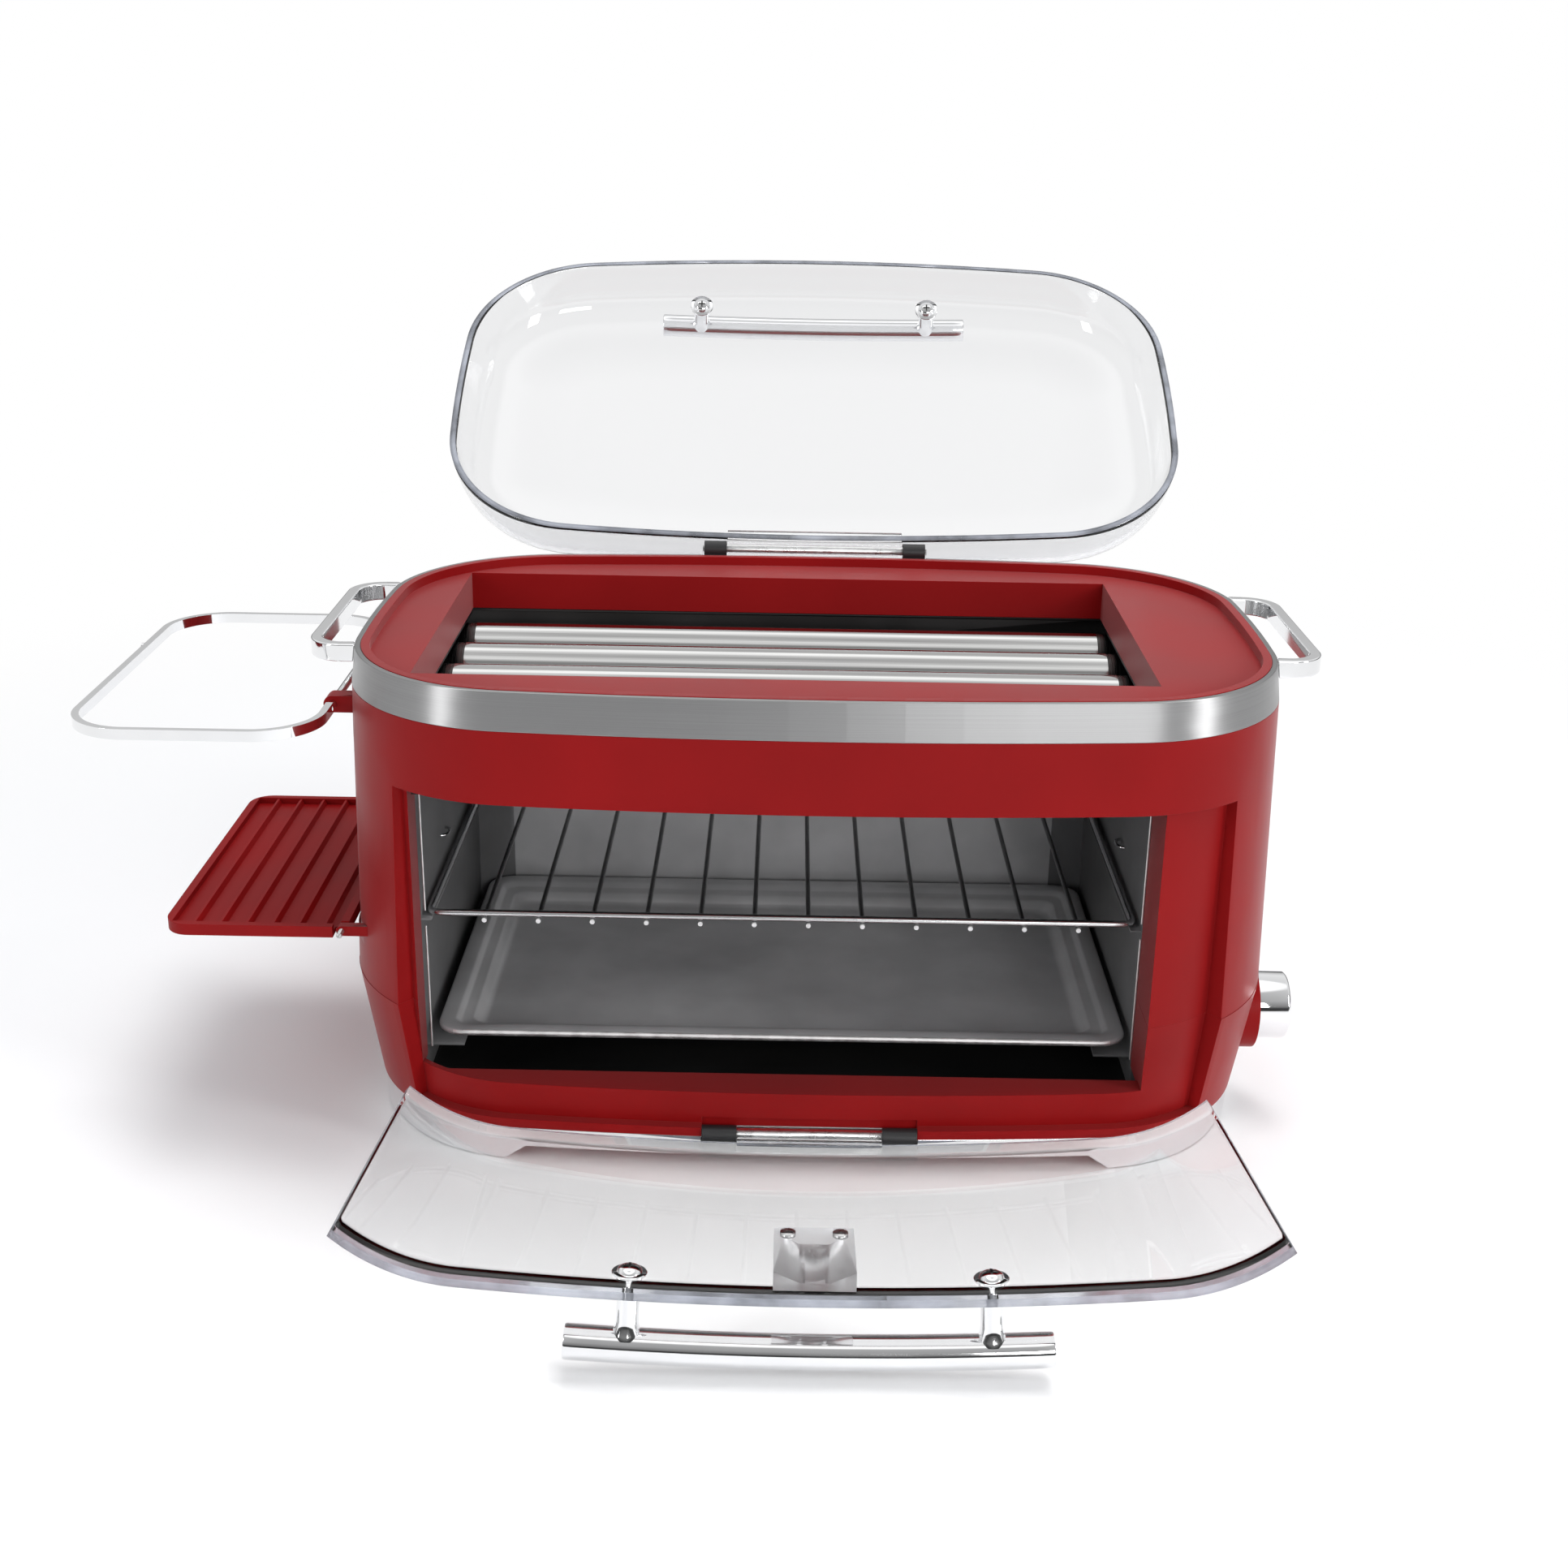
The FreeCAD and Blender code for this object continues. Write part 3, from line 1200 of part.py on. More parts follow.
def timer_switch():
    x1 = v["rim_half_length"] - v["casing_wall"] - 6
    x0 = x1 - 14
    y, z = v["knob_y"], v["knob_z"]
    case = block(x0, x1, y - 18, y + 18, z - 18, z + 18)
    collar = rod_x(x1 - 1, v["rim_half_length"] + v["casing_wall"] / 2, y, z, 2 * v["spindle_radius"])
    bore = rod_x(x0 + 4, TALL, y, z, v["spindle_radius"] + v["running_gap"])
    return union([case, collar]).cut(bore)


def power_inlet():
    x, z, r = v["inlet_x"], v["inlet_z"], v["inlet_radius"]
    y_wall = rear_wall_y(x)
    flange = rod_y(y_wall - 2, y_wall + 2.3, x, z, r)
    flange = flange.cut(oval_loft([(height, offset + v["running_gap"]) for height, offset in lower_taper]))
    neck = rod_y(y_wall - 6, y_wall + 2, x, z, r - 2.2)
    inner = rod_y(y_wall - 6, y_wall - 4.2, x, z, r - 1)
    return union([flange, neck, inner])


def rear_wall_y(x):
    """Where the lower casing's outer face lies behind a point."""
    offset = offset_line(lower_taper, v["inlet_z"])
    radius = v["corner_arc_radius"] + offset
    if x > CORNER.x:
        return -CORNER.y + math.sqrt(radius ** 2 - (x - CORNER.x) ** 2)
    return -FRONT_CENTRE.y + math.sqrt((v["front_arc_radius"] + offset) ** 2 - x ** 2)


feature("base_ring", base_ring())
feature("bottom_plate", bottom_plate())
feature("body_screws", body_screws())
feature("lower_casing", lower_casing())
feature("upper_casing", upper_casing())
feature("top_deck", top_deck())
feature("trim_band", trim_band())
feature("well_liner", well_liner())
feature("bearing_plate_left", bearing_plate_shape(plate_x_left, v["liner_bottom"]))
feature("bearing_plate_right", bearing_plate_right())
feature("roller_bushes", roller_bushes())
feature("idler_pins", idler_pins())
feature("drive_motor", drive_motor())
v["collar_low"] = v["well_centre_x"] - v["roller_half_length"] - shaft_left
v["collar_high"] = v["well_centre_x"] + v["roller_half_length"] - shaft_left
v["shaft_length"] = shaft_right - shaft_left
for name in ("collar_low", "collar_high", "shaft_length"):
    row += 1
    sheet.set("A%d" % row, name)
    sheet.set("B%d" % row, str(v[name]))
    sheet.setAlias("B%d" % row, name)
doc.recompute()
rollers()
feature("oven_side_left", oven_side(v["oven_left"], -1))
feature("oven_side_right", oven_side(v["oven_right"], 1))
back_x0 = v["oven_left"] + v["runner_width"]
back_x1 = v["oven_right"] - v["runner_width"]
feature("oven_back", oven_wall().common(block(back_x0, back_x1, 0, TALL, 0, TALL)))
feature("oven_floor", oven_floor())
feature("lower_heater", heater(v["lower_heater_z"]))
feature("upper_heater", heater(v["upper_heater_z"]))
feature("wire_rack", wire_rack())
feature("baking_tray", baking_tray())
feature("lid", lid(), LID_OPEN)
lid_pin_x0 = v["lid_bracket_left"] - v["knuckle_width"] - 1
lid_pin_x1 = v["lid_bracket_right"] + v["knuckle_width"] + 1
feature("lid_hinge_knuckles", lid_hinge_knuckles())
feature("lid_hinge_pin", hinge_pin(lid_pin_x0, lid_pin_x1, v["lid_hinge_y"], v["lid_hinge_z"]))
lid_posts, lid_screws = bar_handle("lid", LID_OPEN * lid_handle_frame(), v["lid_wall"])
feature("lid_handle_posts", lid_posts)
feature("lid_handle_screws", lid_screws)
feature("door_panel", door_panel(), DOOR_OPEN)
feature("door_hinge_knuckles", door_hinge_knuckles())
feature("door_hinge_pin", hinge_pin(knuckle_left, knuckle_right, v["door_hinge_y"], v["door_hinge_z"]))
door_frame = Placement(Vector(0, door_face_y, v["door_handle_z"]),
                       Rotation(Vector(0, -1, 0), Vector(1, 0, 0), Vector(0, 0, 1), "XYZ"))
door_posts, door_screws = bar_handle("door", DOOR_OPEN * door_frame, v["door_wall"])
feature("door_handle_posts", door_posts)
feature("door_handle_screws", door_screws)
feature("latch_block", latch_block(), DOOR_OPEN)
feature("latch_screws", latch_screws(), DOOR_OPEN)
feature("door_catch", door_catch())
feature("side_handle_left", side_handle(-1))
feature("side_handle_right", side_handle(1))
feature("ring_frame", ring_frame())
feature("folding_shelf", folding_shelf())
feature("shelf_pin", shelf_pin())
feature("hinge_lugs", Part.makeCompound([ring_ears(), shelf_ears()]))
knob_place = Placement(Vector(v["knob_x"], v["knob_y"], v["knob_z"]), ALONG_X)
revolved("control_knob", [("0", "-20"), ("spindle_radius", "-20"), ("spindle_radius", "-2"),
                          ("knob_radius - 3", "-2"), ("knob_radius - 3", "0"), ("knob_radius", "0"),
                          ("knob_radius", "knob_length - 1"), ("knob_radius - 1", "knob_length"),
                          ("0", "knob_length")], knob_place)
feature("timer_switch", timer_switch())
feature("power_inlet", power_inlet())

doc.recompute()
for obj in doc.Objects:
    if "Invalid" in obj.State or "Error" in obj.State:
        raise RuntimeError("%s failed" % obj.Label)
for obj in nodes:
    if obj.Shape.isNull() or not obj.Shape.isValid():
        raise RuntimeError("%s has no valid shape" % obj.Label)
for obj in nodes:
    obj.Shape.exportStep("parts/%s.step" % obj.Label)
print("%d nodes" % len(nodes))
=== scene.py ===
import json
import math

import bmesh
import bpy
from mathutils import Matrix, Vector

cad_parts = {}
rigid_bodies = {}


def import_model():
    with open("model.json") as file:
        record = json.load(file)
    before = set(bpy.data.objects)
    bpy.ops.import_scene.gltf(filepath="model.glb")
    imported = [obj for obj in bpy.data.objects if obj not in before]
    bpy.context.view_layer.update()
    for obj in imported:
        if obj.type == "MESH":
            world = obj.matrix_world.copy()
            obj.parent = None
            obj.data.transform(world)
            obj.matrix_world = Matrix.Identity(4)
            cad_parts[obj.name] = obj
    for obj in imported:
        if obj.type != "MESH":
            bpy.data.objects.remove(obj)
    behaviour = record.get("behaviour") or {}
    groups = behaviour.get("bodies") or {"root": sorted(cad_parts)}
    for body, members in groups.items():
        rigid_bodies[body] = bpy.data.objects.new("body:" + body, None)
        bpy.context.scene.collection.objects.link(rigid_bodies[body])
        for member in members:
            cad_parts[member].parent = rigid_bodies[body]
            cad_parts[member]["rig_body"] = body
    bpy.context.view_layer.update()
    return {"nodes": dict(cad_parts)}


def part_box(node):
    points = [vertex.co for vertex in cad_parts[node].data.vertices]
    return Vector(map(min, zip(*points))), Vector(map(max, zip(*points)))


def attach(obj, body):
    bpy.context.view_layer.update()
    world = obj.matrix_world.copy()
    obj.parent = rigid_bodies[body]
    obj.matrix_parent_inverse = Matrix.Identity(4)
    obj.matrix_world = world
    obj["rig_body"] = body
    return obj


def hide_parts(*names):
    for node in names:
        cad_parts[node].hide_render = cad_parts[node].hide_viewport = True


bl_info = {
    "name": "Hot Dog Maker Dressing",
    "version": (1, 0, 0),
    "blender": (4, 5, 0),
    "location": "View3D > Sidebar > Hot Dog Maker",
    "description": "Finished surfaces and fine parts for the hot dog maker",
    "category": "Object",
}

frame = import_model()
MM = 0.001
MERGE = 1e-6

# Curve of the bar handles, and how far the bar stands off the panel
BAR_ARC = 1430 * MM
BAR_REACH = 24 * MM

# Part of a noise's range that carries most of its spread
NOISE_LOW, NOISE_HIGH = 0.35, 0.65


# Sizes and colours that a user would change

def length(name, millimetres, description):
    """Length setting whose default is given in millimetres."""
    return bpy.props.FloatProperty(name=name, description=description, default=millimetres * MM,
                                   unit="LENGTH", precision=5)


def colour(name, value, description):
    """Colour setting."""
    return bpy.props.FloatVectorProperty(name=name, description=description, default=value,
                                         subtype="COLOR", size=3, min=0.0, max=1.0)


def node_face(node, corner, axis):
    """Default that comes from a CAD node's box, in millimetres."""
    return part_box(node)[corner][axis] / MM


class OutlineSizes(bpy.types.PropertyGroup):
    """Plan outline of the rim: long arcs, end arcs and corner arcs."""
    half_length: length("Half length", 189.6, "Middle of the rim to its end")
    half_depth: length("Half depth", 112.8, "Middle of the rim to its front")
    long_radius: length("Long side radius", 1432.0, "Radius of the front and back arcs")
    end_radius: length("End radius", 790.0, "Radius of the end arcs")
    corner_radius: length("Corner radius", 72.3, "Radius of the four corner arcs")
    rim_top: length("Rim top", node_face("top_deck", 1, 2), "Height of the red rim")


class LidSizes(bpy.types.PropertyGroup):
    """Clear lid, measured as it is when closed."""
    inset: length("Inset", 1.8, "Lid's edge inside the rim's outline")
    seat: length("Seat", 209.5, "Height of the closed lid's edge")
    wall: length("Wall", 3.0, "Thickness of the moulding")
    hinge_y: length("Hinge Y", 116.6, "Hinge axis behind the middle")
    hinge_z: length("Hinge Z", 211.2, "Hinge axis height")
    opened: bpy.props.FloatProperty(name="Opened", description="Angle from closed to open",
                                    default=math.radians(149.0), subtype="ANGLE")


class DoorSizes(bpy.types.PropertyGroup):
    """Clear oven door, measured as it is when closed."""
    offset: length("Offset", 4.0, "Outer face outside the rim's outline")
    wall: length("Wall", 3.0, "Thickness of the moulding")
    half_width: length("Half width", 166.0, "Middle of the door to its side edge")
    bottom: length("Bottom", 21.5, "Height of the lower edge")
    top: length("Top", 163.0, "Height of the upper edge")
    hinge_y: length("Hinge Y", -111.0, "Hinge axis in front of the middle")
    hinge_z: length("Hinge Z", 18.5, "Hinge axis height")
    opened: bpy.props.FloatProperty(name="Opened", description="Angle from closed to open",
                                    default=math.radians(81.0), subtype="ANGLE")


class RollerSizes(bpy.types.PropertyGroup):
    """Polished tubes that turn the food."""
    radius: length("Radius", 12.5, "Outer radius of a roller")
    collar: length("Collar", 9.8, "Length of the darker collar at each end")
    chamfer: length("Chamfer", 0.8, "Turned edge at each end")


class FinishColours(bpy.types.PropertyGroup):
    """Base colours of the finishes."""
    red: colour("Red plastic", (0.222, 0.0038, 0.0045), "Satin moulding of the body")
    steel: colour("Brushed steel", (0.36, 0.36, 0.363), "Band around the rim")
    chrome: colour("Chrome", (0.86, 0.865, 0.875), "Plated ring, handles and knob")
    roller: colour("Roller steel", (0.47, 0.47, 0.465), "Polished rollers")
    # The lining is used only as a lighter copy on the back wall and a darker copy on the side walls, which
    # are painted light and shade
    liner: colour("Oven lining", (0.42, 0.42, 0.425), "Coated sheet inside the oven")
    black: colour("Black plastic", (0.012, 0.012, 0.013), "Hinge knuckles and lugs")


SETTINGS = (("hd_outline", OutlineSizes), ("hd_lid", LidSizes), ("hd_door", DoorSizes),
            ("hd_roller", RollerSizes), ("hd_colours", FinishColours))


# Materials

def wire_nodes(name):
    """New material with its node tree and shader."""
    mat = bpy.data.materials.new(name)
    mat.use_nodes = True
    tree = mat.node_tree
    return mat, tree, tree.nodes["Principled BSDF"]


def object_noise(tree, scale, detail, stretch=(1, 1, 1)):
    """Noise in the object's own metres, stretched along an axis."""
    place = tree.nodes.new("ShaderNodeTexCoord")
    mapping = tree.nodes.new("ShaderNodeMapping")
    mapping.inputs["Scale"].default_value = stretch
    noise = tree.nodes.new("ShaderNodeTexNoise")
    noise.inputs["Scale"].default_value = scale
    noise.inputs["Detail"].default_value = detail
    tree.links.new(place.outputs["Object"], mapping.inputs["Vector"])
    tree.links.new(mapping.outputs["Vector"], noise.inputs["Vector"])
    return noise.outputs["Fac"]


def ramp_between(tree, fac, low, high):
    """Spread a noise over a range of values."""
    ramp = tree.nodes.new("ShaderNodeMapRange")
    ramp.inputs["From Min"].default_value = NOISE_LOW
    ramp.inputs["From Max"].default_value = NOISE_HIGH
    ramp.inputs["To Min"].default_value = low
    ramp.inputs["To Max"].default_value = high
    tree.links.new(fac, ramp.inputs["Value"])
    return ramp.outputs["Result"]


def vary_colour(tree, shader, fac, first, second):
    """Base colour that drifts between two colours."""
    mix = tree.nodes.new("ShaderNodeMix")
    mix.data_type = "RGBA"
    mix.inputs["A"].default_value = (*first, 1)
    mix.inputs["B"].default_value = (*second, 1)
    tree.links.new(fac, mix.inputs["Factor"])
    tree.links.new(mix.outputs["Result"], shader.inputs["Base Color"])


def add_bump(tree, shader, fac, strength, distance):
    """Surface relief that follows a noise."""
    bump = tree.nodes.new("ShaderNodeBump")
    bump.inputs["Strength"].default_value = strength
    bump.inputs["Distance"].default_value = distance
    tree.links.new(fac, bump.inputs["Height"])
    tree.links.new(bump.outputs["Normal"], shader.inputs["Normal"])


def shade(value, factor):
    """A colour made darker or lighter."""
    return tuple(min(1.0, part * factor) for part in value)


def moulded_plastic(name, base, rough, grain, gloss=0.5, bloom=0.0):
    """Satin moulding with a fine spark texture and slight flow marks, and a bloom at flat angles."""
    mat, tree, shader = wire_nodes(name)
    shader.inputs["Specular IOR Level"].default_value = gloss
    shader.inputs["Sheen Weight"].default_value = bloom
    shader.inputs["Sheen Roughness"].default_value = 0.35
    shader.inputs["Sheen Tint"].default_value = (1.0, 0.86, 0.86, 1)
    flow = object_noise(tree, 14.0, 2.0)
    vary_colour(tree, shader, ramp_between(tree, flow, 0, 1), shade(base, 0.93), shade(base, 1.07))
    fine = object_noise(tree, 1500.0, 2.0)
    tree.links.new(ramp_between(tree, flow, rough - 0.03, rough + 0.03), shader.inputs["Roughness"])
    add_bump(tree, shader, fine, grain, 0.0001)
    return mat


def drawn_metal(name, base, rough, spread, scale, stretch, grain):
    """Metal with fine lines where the stretch is small."""
    mat, tree, shader = wire_nodes(name)
    shader.inputs["Metallic"].default_value = 1.0
    lines = object_noise(tree, scale, 4.0, stretch)
    vary_colour(tree, shader, ramp_between(tree, lines, 0, 1), shade(base, 0.9), shade(base, 1.08))
    tree.links.new(ramp_between(tree, lines, rough - spread, rough + spread), shader.inputs["Roughness"])
    add_bump(tree, shader, lines, grain, 0.00005)
    return mat


def brushed_round(name, base, rough, stretched):
    """Metal brushed along its length round an upright axis, which draws highlights out upwards."""
    mat, tree, shader = wire_nodes(name)
    shader.inputs["Metallic"].default_value = 1.0
    shader.inputs["Anisotropic"].default_value = stretched
    shader.inputs["Anisotropic Rotation"].default_value = 0.25
    round_axis = tree.nodes.new("ShaderNodeTangent")
    round_axis.direction_type = "RADIAL"
    round_axis.axis = "Z"
    tree.links.new(round_axis.outputs["Tangent"], shader.inputs["Tangent"])
    lines = object_noise(tree, 4.0, 5.0, (2, 2, 1400))
    vary_colour(tree, shader, ramp_between(tree, lines, 0, 1), shade(base, 0.93), shade(base, 1.07))
    tree.links.new(ramp_between(tree, lines, rough - 0.03, rough + 0.03), shader.inputs["Roughness"])
    return mat


def plated_chrome(name, base, rough):
    """Bright plating with faint haze."""
    mat, tree, shader = wire_nodes(name)
    shader.inputs["Metallic"].default_value = 1.0
    haze = object_noise(tree, 60.0, 4.0)
    vary_colour(tree, shader, ramp_between(tree, haze, 0, 1), shade(base, 0.97), shade(base, 1.0))
    tree.links.new(ramp_between(tree, haze, rough, rough + 0.05), shader.inputs["Roughness"])
    return mat


def clear_acrylic(name, tint, rough):
    """Clear moulding that lets light through to what stands behind it."""
    mat, tree, shader = wire_nodes(name)
    shader.inputs["Transmission Weight"].default_value = 1.0
    shader.inputs["IOR"].default_value = 1.49
    shader.inputs["Base Color"].default_value = (*tint, 1)
    smear = object_noise(tree, 30.0, 3.0)
    tree.links.new(ramp_between(tree, smear, rough, rough + 0.02), shader.inputs["Roughness"])
    path = tree.nodes.new("ShaderNodeLightPath")
    through = tree.nodes.new("ShaderNodeBsdfTransparent")
    through.inputs["Color"].default_value = (*shade(tint, 0.995), 1)
    mix = tree.nodes.new("ShaderNodeMixShader")
    tree.links.new(path.outputs["Is Shadow Ray"], mix.inputs["Fac"])
    tree.links.new(shader.outputs["BSDF"], mix.inputs[1])
    tree.links.new(through.outputs["BSDF"], mix.inputs[2])
    tree.links.new(mix.outputs["Shader"], tree.nodes["Material Output"].inputs["Surface"])
    return mat


def painted_edge_reflection(name, base, clear):
    """Edge of clear sheet, painted as a grey line that stands in for the dark reflections along clear edges.
    """
    mat, tree, shader = wire_nodes(name)
    shade_noise = object_noise(tree, 45.0, 3.0)
    vary_colour(tree, shader, ramp_between(tree, shade_noise, 0, 1), shade(base, 0.55), shade(base, 1.35))
    shader.inputs["Roughness"].default_value = 0.16
    shader.inputs["Alpha"].default_value = clear
    return mat


def coated_sheet(name, base, rough, metallic):
    """Non-stick coated sheet with a faint spangle."""
    mat, tree, shader = wire_nodes(name)
    shader.inputs["Metallic"].default_value = metallic
    cloud = object_noise(tree, 26.0, 3.0)
    vary_colour(tree, shader, ramp_between(tree, cloud, 0, 1), shade(base, 0.88), shade(base, 1.1))
    fine = object_noise(tree, 900.0, 2.0)
    tree.links.new(ramp_between(tree, cloud, rough - 0.05, rough + 0.05), shader.inputs["Roughness"])
    add_bump(tree, shader, fine, 0.12, 0.0001)
    return mat


FINISHES = {}


def finish_of(name):
    """Material of that name, made once from the panel's colours."""
    if name in FINISHES:
        return FINISHES[name]
    tone = bpy.context.scene.hd_colours
    red, steel, chrome = tuple(tone.red), tuple(tone.steel), tuple(tone.chrome)
    roller, liner, black = tuple(tone.roller), tuple(tone.liner), tuple(tone.black)
    even = (1, 1, 1)
    makers = {
        "red_plastic": lambda: moulded_plastic(name, red, 0.42, 0.08, 0.1, 0.17),
        "red_shelf": lambda: moulded_plastic(name, red, 0.5, 0.05, 0.12),
        "black_plastic": lambda: moulded_plastic(name, black, 0.45, 0.1),
        "gear_plastic": lambda: moulded_plastic(name, (0.72, 0.70, 0.64), 0.5, 0.05),
        "brushed_band": lambda: brushed_round(name, steel, 0.38, 0.85),
        "chrome_plating": lambda: plated_chrome(name, chrome, 0.04),
        "rack_wire": lambda: plated_chrome(name, (0.66, 0.66, 0.67), 0.2),
        # Dark copy of the rack wire: painted shade on the rack's rods
        "rack_rod_painted_shade": lambda: plated_chrome(name, (0.2, 0.2, 0.203), 0.3),
        "roller_steel": lambda: drawn_metal(name, roller, 0.1, 0.03, 3.0, (5, 700, 700), 0.05),
        "roller_collar": lambda: drawn_metal(name, (0.1, 0.1, 0.098), 0.3, 0.08, 3.0, (700, 8, 8), 0.15),
        # Two copies of the lining: a lighter one for the back wall as painted light, and a much darker one
        # for the side walls as painted shade
        "dark_liner": lambda: coated_sheet(name, shade(liner, 1.12), 0.42, 0.3),
        # The near-black well pan is painted shade for the dark gaps between the rollers
        "well_pan_painted_shade": lambda: coated_sheet(name, (0.028, 0.027, 0.027), 0.35, 0.4),
        "tray_coating": lambda: coated_sheet(name, (0.48, 0.48, 0.485), 0.36, 0.3),
        "side_liner_painted_shade": lambda: coated_sheet(name, shade(liner, 0.38), 0.4, 0.3),
        # The near-black oven floor is painted shade under the tray
        "oven_floor_painted_shade": lambda: coated_sheet(name, (0.006, 0.006, 0.006), 0.5, 0.0),
        # Bright edge finish: a painted highlight on the lining's folded edges, the tray's front lip and the
        # rack's tips
        "edge_painted_highlight": lambda: drawn_metal(name, (0.85, 0.85, 0.85), 0.55, 0.05, 200.0, even, 0.05),
        "plated_steel": lambda: drawn_metal(name, (0.6, 0.6, 0.6), 0.3, 0.05, 200.0, even, 0.05),
        # Near-black finish of the screw crosses, painted shade for their recesses
        "recess_painted_shade": lambda: drawn_metal(name, (0.09, 0.09, 0.09), 0.4, 0.05, 200.0, even, 0.05),
        "heater_sheath": lambda: drawn_metal(name, (0.2, 0.19, 0.18), 0.5, 0.05, 120.0, even, 0.1),
        "bearing_bronze": lambda: drawn_metal(name, (0.5, 0.36, 0.2), 0.4, 0.05, 160.0, even, 0.05),
        "clear_acrylic": lambda: clear_acrylic(name, (0.996, 0.997, 0.999), 0.0),
        # The lid's grey tint is painted reflection: a darker copy of the clear acrylic that stands in for the
        # lid's dim reflections
        "lid_acrylic_painted_reflection": lambda: clear_acrylic(name, (0.855, 0.858, 0.865), 0.0),
        "frosted_acrylic": lambda: clear_acrylic(name, (0.9, 0.9, 0.91), 0.3),
        # Rim faces of the clear panels get a painted grey reflection line
        "acrylic_edge_painted_reflection": lambda: painted_edge_reflection(name, (0.38, 0.40, 0.45), 0.62),
    }
    FINISHES[name] = makers[name]()
    return FINISHES[name]


# Pieces

def finish_piece(name, bm, body, finishes, replaces, smooth=35):
    """Turn a bmesh into a piece in place, with its materials and body."""
    mesh = bpy.data.meshes.new(name)
    bm.to_mesh(mesh)
    bm.free()
    for entry in finishes:
        mesh.materials.append(finish_of(entry))
    mesh.shade_smooth()
    mesh.set_sharp_from_angle(angle=math.radians(smooth))
    piece = bpy.data.objects.new(name, mesh)
    bpy.context.scene.collection.objects.link(piece)
    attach(piece, body)
    if replaces:
        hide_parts(*replaces)
    return piece


def merged_copy(node):
    """The CAD node's surface with its loose triangles joined."""
    bm = bmesh.new()
    bm.from_mesh(frame["nodes"][node].data)
    bmesh.ops.remove_doubles(bm, verts=bm.verts, dist=MERGE)
    bmesh.ops.dissolve_degenerate(bm, edges=bm.edges, dist=1e-7)
    return bm


def dressed_node(node, finish, smooth=30):
    """Smoothly shaded stand-in for a CAD node."""
    body = frame["nodes"][node]["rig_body"]
    return finish_piece(node + "_surface", merged_copy(node), body, [finish], [node], smooth)


def coat_node(node, finish):
    """Give a CAD node its finish."""
    mesh = frame["nodes"][node].data
    mesh.materials.clear()
    mesh.materials.append(finish_of(finish))


def new_edges(bm, before):
    """Edges made since a set of them was taken."""
    return [edge for edge in bm.edges if edge not in before]


def add_mirrored(bm, before, axis):
    """Mirror the edges made since a set of them was taken."""
    made = new_edges(bm, before)
    verts = list({vert for edge in made for vert in edge.verts})
    bmesh.ops.mirror(bm, geom=made + verts, matrix=Matrix.Identity(4), merge_dist=MERGE, axis=axis)


def left_middle(low, high):
    """Middle of the left side of a box."""
    return Vector((low.x, (low.y + high.y) / 2, (low.z + high.z) / 2))


def spun_arc(bm, vert, centre, angle, steps):
    """Carry a vertex round an upright axis and return the last one."""
    result = bmesh.ops.spin(bm, geom=[vert], cent=centre, axis=(0, 0, 1), angle=angle,
                            steps=steps, dvec=(0, 0, 0), use_duplicate=False)
    return [item for item in result["geom_last"] if isinstance(item, bmesh.types.BMVert)][0]


def outline_centres():
    """Centres of the front, corner and end arcs of the rim's outline, front right."""
    size = bpy.context.scene.hd_outline
    front = Vector((0, size.long_radius - size.half_depth))
    end = Vector((size.half_length - size.end_radius, 0))
    gap = end - front
    near = size.long_radius - size.corner_radius
    far = size.end_radius - size.corner_radius
    along = (near ** 2 - far ** 2 + gap.length ** 2) / (2 * gap.length)
    across = math.sqrt(near ** 2 - along ** 2)
    unit = gap.normalized()
    side = Vector((unit.y, -unit.x))
    corner = min((front + unit * along + side * sign * across for sign in (1, -1)), key=lambda c: c.y)
    return front, corner, end


def oval_ring(bm, offset, z):
    """Closed loop of edges along the rim's outline, moved out by offset."""
    size = bpy.context.scene.hd_outline
    front_steps, corner_steps, end_steps = 16, 28, 8
    front, corner, end = outline_centres()
    turn_front = math.pi / 2 + math.atan2(corner.y - front.y, corner.x - front.x)
    turn_end = -math.atan2(corner.y - end.y, corner.x - end.x)
    before = set(bm.edges)
    start = bm.verts.new((0, -size.half_depth - offset, z))
    joint = spun_arc(bm, start, (*front, z), turn_front, front_steps)
    joint = spun_arc(bm, joint, (*corner, z), math.pi / 2 - turn_front - turn_end, corner_steps)
    spun_arc(bm, joint, (*end, z), turn_end, end_steps)
    add_mirrored(bm, before, "X")
    add_mirrored(bm, before, "Y")
    return new_edges(bm, before)


def oval_shell(bm, levels):
    """Wall through outlines given as (offset, height) pairs, in metres. Returns the last loop."""
    loops = [oval_ring(bm, offset, z) for offset, z in levels]
    for low, high in zip(loops, loops[1:]):
        bmesh.ops.bridge_loops(bm, edges=low + high)
    return loops[-1]


def turned_open(bm, hinge_y, hinge_z, angle):
    """Swing a closed shape about a hinge that runs along X."""
    bmesh.ops.rotate(bm, verts=bm.verts, cent=(0, hinge_y, hinge_z), matrix=Matrix.Rotation(angle, 3, "X"))


def add_wall(piece, thickness):
    """Give a sheet its thickness on the inner side."""
    wall = piece.modifiers.new("wall", "SOLIDIFY")
    wall.thickness = thickness
    wall.offset = -1
    wall.use_even_offset = True
    return wall


def add_bevel(piece, width, segments=2):
    """Round the sharp edges of a piece and keep its flat faces flat."""
    edge = piece.modifiers.new("edges", "BEVEL")
    edge.width = width
    edge.segments = segments
    edge.limit_method = "ANGLE"
    edge.angle_limit = math.radians(40)
    flat = piece.modifiers.new("flat_faces", "WEIGHTED_NORMAL")
    flat.keep_sharp = True


